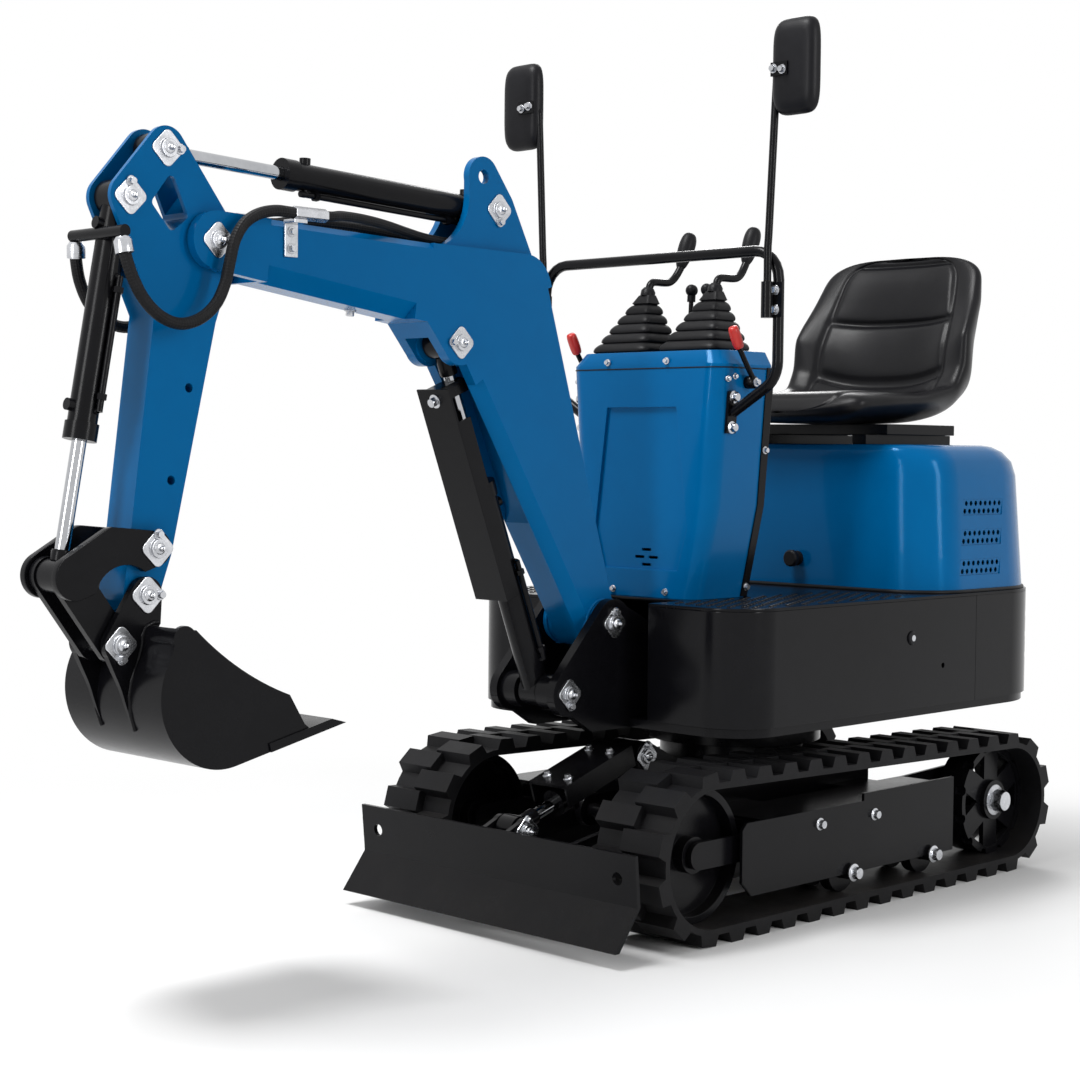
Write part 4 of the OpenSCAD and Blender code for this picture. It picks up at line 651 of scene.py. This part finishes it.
def seat_skin():
    """Seat as one closed skin: the middle between its upper and lower face, plus and minus half their distance.

    u runs across and v from the cushion's front edge to the top of the back. The sides rise with |u|^2.6 into
    wings, upwards at the cushion and ever more forwards up the back. Both ends close as a cube-root oval, the
    thickness falls off as sqrt(1 - |u|^7) at the rim, and seams are hollows exp(-(d / w)^2)."""
    keys = [0, 0.06, 0.15, 0.30, 0.45, 0.55, 0.62, 0.70, 0.80, 0.90, 1.0]
    u = np.sin(np.linspace(-math.pi / 2, math.pi / 2, 121))[None, :]
    v = np.linspace(0, math.pi, 181)[:, None]
    v = 0.4 * (0.5 - 0.5 * np.cos(v)) + 0.6 * v / math.pi
    upper_x = eased(keys, [-118, -146, -230, -340, -438, -484, -503, -519, -537, -553, -570], v)
    upper_z = eased(keys, [928, 962, 960, 952, 955, 990, 1046, 1098, 1160, 1216, 1264], v)
    lower_x = eased(keys, [-122, -150, -230, -345, -480, -562, -588, -597, -602, -600, -586], v)
    lower_z = eased(keys, [914, 904, 903, 903, 907, 938, 1020, 1080, 1148, 1212, 1262], v)
    half_wide = eased(keys, [178, 192, 206, 214, 219, 222, 221, 217, 209, 196, 184], v)
    lift = eased(keys, [4, 8, 16, 26, 48, 78, 88, 70, 44, 26, 12], v)
    corner = np.clip((v - 0.86) / 0.14, 0, 1) ** 3 + np.clip(1 - v / 0.08, 0, 1) ** 3
    half_wide = half_wide * np.maximum(1 - corner, 0) ** (1 / 3)
    x, z = (upper_x + lower_x) / 2, (upper_z + lower_z) / 2
    run = np.gradient(x, axis=0), np.gradient(z, axis=0)
    size = np.hypot(*run)
    normal = np.stack([run[1] / size, 0 * size, -run[0] / size], -1)
    half = np.stack([upper_x - lower_x, 0 * x, upper_z - lower_z], -1) / 2
    rim = np.sqrt(np.maximum(1 - np.abs(u) ** 7, 0)) * np.sqrt(np.maximum(1 - np.abs(2 * v - 1) ** 26, 0))
    wing = (lift * np.abs(u) ** 2.6)[..., None]
    share = np.clip((v - 0.2) / 0.65, 0, 1)
    tilt = math.radians(75) * share ** 2 * (3 - 2 * share)
    rise = np.stack([np.sin(tilt), 0 * tilt, np.cos(tilt)], -1)
    middle = np.stack([x + 0 * u, half_wide * u, z + 0 * u], -1) + rise * wing
    inside = 1 / (1 + np.exp((np.abs(u) - 0.70) / 0.02))
    bands = [(0.05, 0.52), (0.565, 0.725), (0.745, 0.955)]
    pads = np.select([(v > low) & (v < high) for low, high in bands],
                     [np.sin(math.pi * (v - low) / (high - low)) for low, high in bands], 0.0)
    crown = 9 * np.maximum(pads, 0) ** 0.35 * inside * np.maximum(1 - 0.55 * u ** 2, 0)
    seams = 5 * bell(np.abs(u) - 0.72, 0.03) * bell(v - 0.5, 0.42) ** 0.2 + 8 * inside * bell(v - 0.545, 0.016)
    seams = seams + 6 * inside * (bell(v - 0.735, 0.010) + bell(v - 0.965, 0.010))
    upper = middle + half * rim[..., None] + normal * (rim * (crown - seams))[..., None]
    lower = middle - half * rim[..., None]
    return joined([grid(upper), grid(lower[:, ::-1])])


seat = piece("seat_cushion", seat_skin(), VINYL, "upper", crease=75)
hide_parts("seat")


# Levers and boots on the console

CONSOLE_TOP = node_box("console")[1][2]
BOOT_X, BOOT_Y = 206, 84
BOOT_APEX = np.array([176, BOOT_Y, CONSOLE_TOP + 114])


def bellows():
    """Pleated boot: a rounded square that shrinks upwards, with narrow grooves 1 - |sin(n pi t)|^0.5 between pleats."""
    pleats, height = 6, BOOT_APEX[2] - CONSOLE_TOP - 1
    t = np.linspace(0, 1, pleats * 14 + 1)[:, None]
    angle = np.linspace(0, TURN, 72, endpoint=False)[None, :]
    square = (np.abs(np.cos(angle)) ** 8 + np.abs(np.sin(angle)) ** 8) ** (-1 / 8)
    groove = 8 * (1 - np.abs(np.sin(math.pi * pleats * t)) ** 0.5) * (t < 0.85)
    reach = (75 - 61 * t - groove * (1 - 0.4 * t)) * square
    x = BOOT_X + (BOOT_APEX[0] - BOOT_X) * t + 0.80 * reach * np.cos(angle)
    y = BOOT_Y + reach * np.sin(angle)
    side = np.stack([x, y, CONSOLE_TOP + 1 + height * t + 0 * angle], -1)
    foot = np.array([BOOT_X, BOOT_Y, CONSOLE_TOP + 1]) + 0 * side[:1]
    return grid(np.concatenate([foot, side, BOOT_APEX + [0, 0, 2] + 0 * side[:1]]), wrap_v=True)


def lever_and_grip():
    """Cranked lever out of the boot, a collar at its foot and an egg-shaped grip along its upper end."""
    apex = BOOT_APEX
    knee, crank = apex + [-16, 0, 26], apex + [-66, 0, 30]
    low, high = apex + [-92, -2, 56], apex + [-122, -4, 128]
    lever = tube(curve([apex, apex + [-4, 0, 12], knee, crank, low, low + 0.3 * (high - low)], 4), 7.5, 14)
    t = np.linspace(0, math.pi, 22)
    length = np.linalg.norm(high - low)
    egg = np.stack([(13 + 6 * np.sin(t / 2) ** 2) * np.sin(t) ** 0.62, length * (1 - np.cos(t)) / 2], 1)
    collar = revolved([(0, -4), (14, -4), (14, 8), (10, 14), (0, 14)], 24)
    return lever, joined([moved(revolved(egg, 24), low, high - low), moved(collar, apex, (-0.3, 0, 1))])


boots = piece("lever_bellows", both_sides(bellows()), RUBBER, "upper", crease=55)
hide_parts("lever_boots")
stem, grip = lever_and_grip()
sticks = piece("joystick_levers", both_sides(stem), BLACK, "upper")
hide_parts("joysticks")
piece("joystick_grips", both_sides(grip), RUBBER, "upper", crease=60)


def ball_lever():
    """Short lever between the boots with a ball on a collar."""
    foot, top = np.array([128, 19, CONSOLE_TOP]), np.array([122, 19, CONSOLE_TOP + 112])
    t = np.linspace(0, math.pi, 16)
    ball = np.stack([12 * np.sin(t), 12 - 12 * np.cos(t)], 1)
    collar = revolved([(0, -10), (8, -10), (8, 2), (0, 2)], 20)
    stem = tube([foot, 0.5 * (foot + top), top], 4.5, 12)
    return stem, moved(joined([revolved(ball, 24), collar]), top, top - foot)


def side_lever():
    """Lever at the console's flank: pivot boss, bent stem and a long grip."""
    pivot = np.array([202, 188, 972])
    elbow, low, high = pivot + [0, 14, 0], pivot + [44, 14, 60], pivot + [64, 14, 98]
    boss = moved(revolved([(0, -2), (12, -2), (12, 14), (9, 18), (0, 18)], 24), pivot, (0, 1, 0))
    stem = tube(curve([elbow, elbow + [6, 1, 8], 0.5 * (elbow + low), low], 4), 5, 12)
    t = np.linspace(0, math.pi, 16)
    length = np.linalg.norm(high - low)
    profile = np.stack([10.5 * np.sin(t) ** 0.22, length * (1 - np.cos(t)) / 2], 1)
    return joined([boss, stem]), moved(revolved(profile, 24), low, high - low)


ball_stem, ball = ball_lever()
flank_stem, flank_grip = side_lever()
stems = piece("hand_lever_stems", both_sides(joined([ball_stem, flank_stem])), BLACK, "upper")
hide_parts("hand_levers")
piece("hand_lever_balls", both_sides(ball), PLASTIC, "upper", crease=60)
piece("hand_lever_grips", both_sides(flank_grip), RED, "upper", crease=60)


# Trim of the upper body, with painted shade along the console lid's seam

def plan_line(x0, x1, half_wide, rear_r, front_r, z):
    """Closed line round a plan with round corners at one height."""
    corners = [((x1 - front_r, half_wide - front_r), front_r, 0), ((x0 + rear_r, half_wide - rear_r), rear_r, 90),
               ((x0 + rear_r, rear_r - half_wide), rear_r, 180), ((x1 - front_r, front_r - half_wide), front_r, 270)]
    line = np.concatenate([arc_line(middle, r, start, start + 90, 14) for middle, r, start in corners])
    line = np.vstack([line, line[:1]])
    return np.column_stack([line, np.full(len(line), z)])


def scattered(shape, places):
    """Copies of one shape at several places."""
    points, faces = shape
    count = len(points)
    return ((np.asarray(places, float)[:, None] + points).reshape(-1, 3),
            (np.arange(len(places))[:, None, None] * count + faces).reshape(-1, 4))


def deck_dots():
    """Rows of low studs on the walking surface in front of the hood, every other row shifted by half a step."""
    pitch, edge, corner = 24.0, 16.0, 95.0
    row, column = np.meshgrid(np.arange(22), np.arange(8), indexing="ij")
    x = 384 - row * pitch
    y = 148 + (column + 0.5 * (row % 2)) * pitch
    keep = (y < DECK_HALF - edge) & (x > -172)
    past = np.hypot(np.maximum(x - (400 - corner), 0), np.maximum(y - (DECK_HALF - corner), 0))
    keep &= past < corner - edge
    places = np.stack([x[keep], y[keep], np.full(keep.sum(), DECK_TOP)], 1)
    stud = revolved([(0, -0.5), (5.5, -0.5), (5, 1.2), (3.4, 2.0), (0, 2.2)], 12)
    return scattered(stud, places)


_, DECK_HALF, DECK_TOP = node_box("deck")[1]
HOOD_LOW, HOOD_HIGH = node_box("hood")
HOOD_REAR_R, HOOD_FRONT_R = 172, 108
piece("deck_studs", both_sides(deck_dots()), BLACK, "upper")
seal = plan_line(HOOD_LOW[0], HOOD_HIGH[0], HOOD_HIGH[1], HOOD_REAR_R, HOOD_FRONT_R, DECK_TOP + 2)
piece("hood_seal", tube(even(seal, 8), 4.5, 10, (0, 0, 1)), RUBBER, "upper")
CONSOLE_LOW, CONSOLE_HIGH = node_box("console")
CONSOLE_REAR_R, CONSOLE_FRONT_R, LID_SEAM_Z = 8, 34, 998
seam = plan_line(CONSOLE_LOW[0], CONSOLE_HIGH[0], CONSOLE_HIGH[1], CONSOLE_REAR_R, CONSOLE_FRONT_R, LID_SEAM_Z)
# Painted shade: a thin black rubber tube round the console at the lid's seam stands in for the shadow in the gap
# between lid and console.
piece("console_lid_seam_shade", tube(even(seam, 5), 1.2, 8, (0, 0, 1)), RUBBER, "upper")


def console_band():
    """Edge strip down the console's rear side edge: a flat bar that follows the flank's slope."""
    line = np.array([(139, 187.8, 1000), (139, 168.2, 745), (139, 131, 574)])
    across = np.array([(-9, -1, 0), (9, -1, 0), (9, 2.4, 0), (-9, 2.4, 0)])
    side = line[:, None] + across
    ends = [np.broadcast_to(line[k], side[:1].shape) for k in (0, -1)]
    return grid(np.concatenate([ends[0], side, ends[1]]), wrap_v=True)


piece("console_bands", both_sides(console_band()), BLACK, "upper")
knob = revolved([(0, -1), (15, -1), (15, 5), (10, 7), (10, 12), (17, 15), (17, 24), (14, 27), (0, 27)], 32)
KNOB_AT = (HOOD_HIGH[0] - 1, 5, 630)
piece("hood_knob", moved(knob, KNOB_AT, (1, 0, 0)), PLASTIC, "upper")


def slab(low, high):
    """Box between two corners."""
    corner = np.array([(0, 0, 0), (1, 0, 0), (1, 1, 0), (0, 1, 0), (0, 0, 1), (1, 0, 1), (1, 1, 1), (0, 1, 1)])
    low, high = np.asarray(low, float), np.asarray(high, float)
    return low + corner * (high - low), np.array([(3, 2, 1, 0), (4, 5, 6, 7), (0, 1, 5, 4), (1, 2, 6, 5), (2, 3, 7, 6),
                                                  (3, 0, 4, 7)])


MIRROR_AT = np.array([267, 337, 1520])
MIRROR_HALF = (48, 84)
STALK = [(265, 279, 1086), (265, 279, 1160), (265, 279, 1205), (265, 281, 1238), (265, 287, 1365), (265, 293, 1490),
         (265, 295, 1508), (266, 303, 1519), (267, 320, 1520)]


def rounded_head(levels):
    """Rounded rectangle carried through levels of size and depth: |cos|^5 + |sin|^5 = 1 for each ring."""
    scale, depth = np.array(levels, float).T[:, :, None]
    angle = np.linspace(0, TURN, 96, endpoint=False)[None, :]
    square = (np.abs(np.cos(angle)) ** 5 + np.abs(np.sin(angle)) ** 5) ** (-1 / 5)
    x = MIRROR_AT[0] + depth + 0 * angle
    return grid(np.stack([x, MIRROR_AT[1] + MIRROR_HALF[0] * scale * square * np.cos(angle),
                          MIRROR_AT[2] + MIRROR_HALF[1] * scale * square * np.sin(angle)], -1), wrap_v=True)


HEAD_LEVELS = [(0, 16), (0.45, 15.6), (0.7, 14.4), (0.84, 12), (0.93, 7.5), (0.98, 2), (1, -4), (1, -8), (0.97, -10),
               (0.92, -9.8), (0.905, -7), (0, -7)]
STALK_SLEEVE = [(265, 279, 1083), (265, 279, 1115), (265, 279, 1147)]
FOOT_PLATE = (253, 266, 1084), (258, 306, 1146)
HEAD_PLATE = (280, 296, 1503), (286, 332, 1527)
arms = joined([tube(curve(STALK, 6), 7, 16, (1, 0, 0.1)), tube(STALK_SLEEVE, 11, 20), slab(*FOOT_PLATE),
               slab(*HEAD_PLATE)])
mirrors = piece("mirror_arms", both_sides(arms), BLACK, "upper")
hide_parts("mirrors")
piece("mirror_heads", both_sides(rounded_head(HEAD_LEVELS)), PLASTIC, "upper", crease=50)
piece("mirror_glass", both_sides(rounded_head([(0, -8.6), (0.5, -8.2), (0.9, -7.4)])), GLASS, "upper")


# Bolts, nipples and pins

def beside(foot, head, along, aside, y):
    """Place near a cylinder: along its axis from the foot, aside to the axis's left, and across."""
    axis = unit(np.subtract(head, foot))
    left = np.array([-axis[1], axis[0]])
    x, z = np.asarray(foot) + along * axis + aside * left
    return np.array([x, y, z])


def bolts(name, body, rows, both=False):
    """Bolt heads on one body: each row is a place, the direction it faces and its size over flats."""
    shape = joined([bolt(*row) for row in rows])
    piece(name, both_sides(shape) if both else shape, ZINC, body)


SIDE = (0, 1, 0)
FRONT = (1, 0, 0)


def pin_fittings(name, body, rows):
    """On each pin's flag: a grease nipple in the pin's end and the bolt that holds the flag.

    A row is the pin's place, the distance of the flag's foot from the machine's middle and, in degrees, the side
    on which the bolt is."""
    nipple = revolved([(0, 0), (4, 0), (4, 5), (2.4, 7), (3, 10), (0, 11)], 14)
    bolt_reach, bolt_size = 21, 10
    shapes = []
    for (x, z), out, tail in rows:
        turn = math.radians(tail)
        shapes += [dome((x, out + 8, z), SIDE, 9, 3), moved(nipple, (x, out + 10, z), SIDE),
                   bolt((x + bolt_reach * math.cos(turn), out + 3, z + bolt_reach * math.sin(turn)), SIDE, bolt_size)]
    piece(name, joined(shapes), ZINC, body)


pin_fittings("pin_fittings_upper", "upper", [(BOOM_PIN, 80, 90), (BOOM_CYL_FOOT, 80, 270)])
pin_fittings("pin_fittings_boom", "boom", [(STICK_PIN, 50, 180), (STICK_CYL_BASE, 38, 270), (BOOM_CYL_HEAD, 50, 0)])
pin_fittings("pin_fittings_stick", "stick", [(STICK_CYL_HEAD, 32, 180), (BUCKET_CYL_BASE, 32, 90),
                                             (ROCKER_PIN, 48, 90), (BUCKET_PIN, 47, 180)])
pin_fittings("pin_fittings_bucket", "bucket", [(LINK_PIN, 47, 270)])
pin_fittings("pin_fittings_blade", "blade", [(BLADE_CYL_LOW, 34, 90)])
pin_fittings("pin_fittings_frame", "undercarriage", [(BLADE_CYL_TOP, 36, 90)])

COVER_Y = 331
SKIRT_Y = node_box("skirt_left")[1][1]
GUARD_OUT = beside((0, 0), BOOM_CYL_HEAD - BOOM_CYL_FOOT, 0, -1, 0)
bolts("cover_bolts", "undercarriage", [((156, COVER_Y, 171), SIDE, 14), ((-13, COVER_Y, 169), SIDE, 14),
                                       ((60, COVER_Y + 7, 70), SIDE, 20), ((-200, COVER_Y + 7, 70), SIDE, 20)],
      both=True)
bolts("sprocket_nuts", "undercarriage", [((-472, 302, 140), SIDE, 38)], both=True)
bolts("console_screws", "upper", [((285, y, z), FRONT, 8) for y, z in ((-85, 1011), (62, 1011), (65, 584), (-65, 584))])
bolts("console_side_screws", "upper", [((259, 186, 977), SIDE, 7), ((239, 186, 982), SIDE, 7)], both=True)
bolts("rail_bolts", "upper", [((245, 189, 944), SIDE, 14), ((245, 185, 889), SIDE, 14)], both=True)
bolts("console_band_bolts", "upper", [((139, 178.5, 848), SIDE, 9), ((139, 137, 592), (0, 1, -0.2), 9)], both=True)
bolts("side_lever_bolts", "upper", [((202, 206, 972), SIDE, 10)], both=True)
bolts("hose_bracket_bolts", "boom", [((1159, 54, 1178), SIDE, 10), ((1159, 54, 1152), SIDE, 10)], both=True)
bolts("boom_belly_bolt", "boom", [((984, -12, 1069), (0.13, 0, -1), 12)])
bolts("mirror_bolts", "upper", [((258, 292, 1097), FRONT, 11), ((258, 292, 1132), FRONT, 11),
                                ((286, 303, 1516), FRONT, 10), ((286, 322, 1513), FRONT, 10)], both=True)
COVER_UP = beside((0, 0), BLADE_CYL_LOW - BLADE_CYL_TOP, 0, 1, 0)
bolts("blade_cover_bolts", "blade_barrel", [(beside(BLADE_CYL_TOP, BLADE_CYL_LOW, along, 41, y), COVER_UP, 11)
                                            for along in (80, 196) for y in (-26, 26)])
bolts("guard_bolt", "boom_rod", [(beside(BOOM_CYL_FOOT, BOOM_CYL_HEAD, 566, -46, 0), GUARD_OUT, 15)])
LOCK_AT = (-109, SKIRT_Y, 495)
locks = moved(revolved([(0, -2), (13, -2), (13, 2), (11, 4), (0, 4)], 32), LOCK_AT, SIDE)
piece("skirt_locks", both_sides(locks), PLASTIC, "upper")
cores = moved(revolved([(0, 0), (6, 0), (6, 5), (0, 5)], 20), LOCK_AT, SIDE)
piece("skirt_lock_cores", both_sides(cores), ZINC, "upper")


# Hydraulic pipes and welds

def barrel_pipe(foot, head, start, end, aside, y, radius=5.0):
    """Steel oil pipe along a barrel, with both ends bent in to it and a nut at each."""
    inner = 0.72
    ends = [(start, inner), (start + 2, 1.0), (start + 14, 1.0), (end - 14, 1.0), (end - 2, 1.0), (end, inner)]
    line = curve([beside(foot, head, s, aside * k, y * k) for s, k in ends], 4)
    nuts = [tube([beside(foot, head, s, aside, y), beside(foot, head, s + 9, aside, y)], radius + 3, 6, (0.3, 0.9, 0.1))
            for s in (start + 16, end - 26)]
    return joined([tube(line, radius, 12, (0.2, 1, 0.1))] + nuts)


for cylinder, ends, run in (("bucket", (BUCKET_CYL_BASE, KNEE_PIN), (118, 318, -8, 27)),
                            ("stick", (STICK_CYL_BASE, STICK_CYL_HEAD), (70, 396, -27, 6)),
                            ("boom", (BOOM_CYL_FOOT, BOOM_CYL_HEAD), (60, 250, 10, 29))):
    piece(cylinder + "_cylinder_pipe", barrel_pipe(*ends, *run), BLACK, cylinder + "_barrel")

BOOM_BOSS_R, BOOM_SIDE_Y = 41, 50.5
boss_line = side_line(arc_line(BOOM_PIN, BOOM_BOSS_R, 0, 360, 60), BOOM_SIDE_Y)
piece("boom_welds", both_sides(weld(boss_line, 3.0)), BLUE, "boom", crease=60)

EAR_Y = 41.0


def ear_gusset():
    """Fin below a bucket ear: an outer and an inner line in the side view, with a width that narrows downwards."""
    outer = curve([(1490, 545), (1477, 518), (1464, 492), (1454, 465), (1444, 440), (1437, 428)], 4)
    inner = curve([(1458, 540), (1440, 505), (1440, 480), (1437, 450), (1432, 428)], 4)
    t = np.linspace(0, 1, 30)
    edges = [np.stack([np.interp(t, np.linspace(0, 1, len(line)), column) for column in line.T], 1)
             for line in (outer, inner)]
    half = (6 - 4 * t)[:, None]
    corners = [np.column_stack([edge[:, 0], EAR_Y + side * half, edge[:, 1]])
               for edge, side in ((edges[0], -1), (edges[0], 1), (edges[1], 1), (edges[1], -1))]
    body = np.stack(corners, 1)
    ends = [np.broadcast_to(body[k].mean(0), body[:1].shape) for k in (0, -1)]
    return grid(np.concatenate([ends[0], body, ends[1]]), wrap_v=True)


EAR_ON_SHELL = [(1400, 47, 585.5), (1409, 47, 586), (1421, 47, 581), (1428, 47, 568), (1428.5, 47, 556),
                (1436, 47, 530), (1447, 47, 502), (1450, 46, 480), (1446.5, 44.5, 452), (1438, 43, 428)]
piece("bucket_ear_gussets", both_sides(ear_gusset()), BLACK, "bucket")
piece("bucket_ear_welds", both_sides(weld(EAR_ON_SHELL, 3.4)), BLACK, "bucket", crease=60)


def rod_end(foot, head, collar_length):
    """Painted end of a piston rod: a sleeve round its eye and a collar towards the barrel."""
    eye = revolved([(13, -18.3), (25.4, -18.3), (25.4, 18.3), (13, 18.3), (13, -18.3)], 48)
    reach, into_eye = np.linalg.norm(np.subtract(head, foot)), 22
    start = beside(foot, head, reach - into_eye - collar_length, 0, 0)
    collar = revolved([(11.2, 0), (14, 0), (15.5, 3), (15.5, collar_length), (11.2, collar_length), (11.2, 0)], 32)
    return joined([moved(eye, (head[0], 0, head[1]), (0, 1, 0)),
                   moved(collar, start, beside(foot, head, reach, 0, 0) - start)])


for body, foot, head, collar_length in (
        ("boom_rod", BOOM_CYL_FOOT, BOOM_CYL_HEAD, 34), ("stick_rod", STICK_CYL_BASE, STICK_CYL_HEAD, 34),
        ("bucket_rod", BUCKET_CYL_BASE, KNEE_PIN, 16), ("blade_rod", BLADE_CYL_TOP, BLADE_CYL_LOW, 34)):
    piece(body + "_end", rod_end(foot, head, collar_length), BLACK, body)


# Stage, lights and camera

def look_at(place, target):
    """Matrix of a lamp at a place whose -Z axis points to a target."""
    back = unit(np.subtract(place, target))
    right = unit(np.cross((0, 0, 1), back))
    up = np.cross(back, right)
    matrix = np.eye(4)
    matrix[:3, :3] = np.stack([right, up, back], 1)
    matrix[:3, 3] = place
    return Matrix(matrix.tolist())


def area_light(name, place, target, size, power):
    lamp = bpy.data.lights.new(name, "AREA")
    lamp.shape = "RECTANGLE"
    lamp.size, lamp.size_y = size
    lamp.energy = power
    thing = bpy.data.objects.new(name, lamp)
    bpy.context.scene.collection.objects.link(thing)
    thing.matrix_world = look_at(place, target)


def seen_ray(tree):
    """One for rays that show the background: from the camera, off gloss and through glass."""
    rays = tree.nodes.new("ShaderNodeLightPath").outputs
    both = math_node(tree, "MAXIMUM", rays["Is Camera Ray"], rays["Is Glossy Ray"])
    return math_node(tree, "MAXIMUM", both, rays["Is Transmission Ray"])


def pale_floor():
    """Pale floor that keeps the shadow near the machine and fades to plain white, for the camera, further off."""
    mesh = bpy.data.meshes.new("floor")
    reach = 30.0
    corners = [(-reach, -reach, 0), (reach, -reach, 0), (reach, reach, 0), (-reach, reach, 0)]
    mesh.from_pydata(corners, [], [(0, 1, 2, 3)])
    floor = bpy.data.objects.new("floor", mesh)
    bpy.context.scene.collection.objects.link(floor)
    finish = Finish("pale_floor", Specular_IOR_Level=0.1)
    finish.colour((0.86, 0.86, 0.86), (0.88, 0.88, 0.88), 0.4).rough(0.75, 0.85)
    tree = finish.tree
    away = tree.nodes.new("ShaderNodeVectorMath")
    away.operation = "LENGTH"
    tree.links.new(tree.nodes.new("ShaderNodeTexCoord").outputs["Object"], away.inputs[0])
    fade = tree.nodes.new("ShaderNodeMapRange")
    fade.interpolation_type = "SMOOTHSTEP"
    tree.links.new(away.outputs["Value"], fade.inputs["Value"])
    fade.inputs["From Min"].default_value, fade.inputs["From Max"].default_value = 1.0, 2.1
    seen = math_node(tree, "MULTIPLY", fade.outputs["Result"], seen_ray(tree))
    white = tree.nodes.new("ShaderNodeEmission")
    mix = tree.nodes.new("ShaderNodeMixShader")
    tree.links.new(seen, mix.inputs[0])
    tree.links.new(finish.shader.outputs[0], mix.inputs[1])
    tree.links.new(white.outputs[0], mix.inputs[2])
    tree.links.new(mix.outputs[0], tree.nodes["Material Output"].inputs["Surface"])
    mesh.materials.append(finish.material)


def white_world():
    """World that lights at a plain level and shows as white to the camera, to gloss and through glass."""
    world = bpy.data.worlds.new("studio")
    world.use_nodes = True
    tree = world.node_tree
    light = tree.nodes["Background"]
    light.inputs["Color"].default_value = (1, 1, 1, 1)
    light.inputs["Strength"].default_value = 0.30
    shown = tree.nodes.new("ShaderNodeBackground")
    shown.inputs["Color"].default_value = (1, 1, 1, 1)
    shown.inputs["Strength"].default_value = 1.0
    mix = tree.nodes.new("ShaderNodeMixShader")
    tree.links.new(seen_ray(tree), mix.inputs[0])
    tree.links.new(light.outputs[0], mix.inputs[1])
    tree.links.new(shown.outputs[0], mix.inputs[2])
    tree.links.new(mix.outputs[0], tree.nodes["World Output"].inputs["Surface"])
    bpy.context.scene.world = world


CAMERA_AT = (2.7165, 2.590, 0.846)
CAMERA_RIGHT = (-0.70149817, 0.71261274, 0.00913212)
CAMERA_DOWN = (0.02469822, 0.03711525, -0.99900573)
CAMERA_AHEAD = (-0.71224316, -0.70057515, -0.04363655)


def photo_camera():
    camera = bpy.data.cameras.new("camera")
    camera.sensor_width = 36.0
    camera.lens = 69.2
    thing = bpy.data.objects.new("camera", camera)
    bpy.context.scene.collection.objects.link(thing)
    matrix = np.eye(4)
    matrix[:3, :3] = np.stack([CAMERA_RIGHT, -np.array(CAMERA_DOWN), -np.array(CAMERA_AHEAD)], 1)
    matrix[:3, 3] = CAMERA_AT
    thing.matrix_world = Matrix(matrix.tolist())
    bpy.context.scene.camera = thing


pale_floor()
white_world()
area_light("key", (1.6, -0.8, 4.6), (0.0, 0.0, 0.5), (1.5, 1.5), 175)
area_light("strip", (-0.4, 4.4, 2.2), (-0.2, 0.0, 0.7), (0.7, 2.8), 80)
area_light("front", (4.6, 0.4, 2.0), (0.2, 0.0, 0.7), (0.8, 2.6), 70)
area_light("rim", (-4.0, -2.4, 3.4), (0.0, 0.0, 0.8), (1.8, 1.8), 75)
photo_camera()
bpy.context.scene.view_settings.view_transform = "Standard"
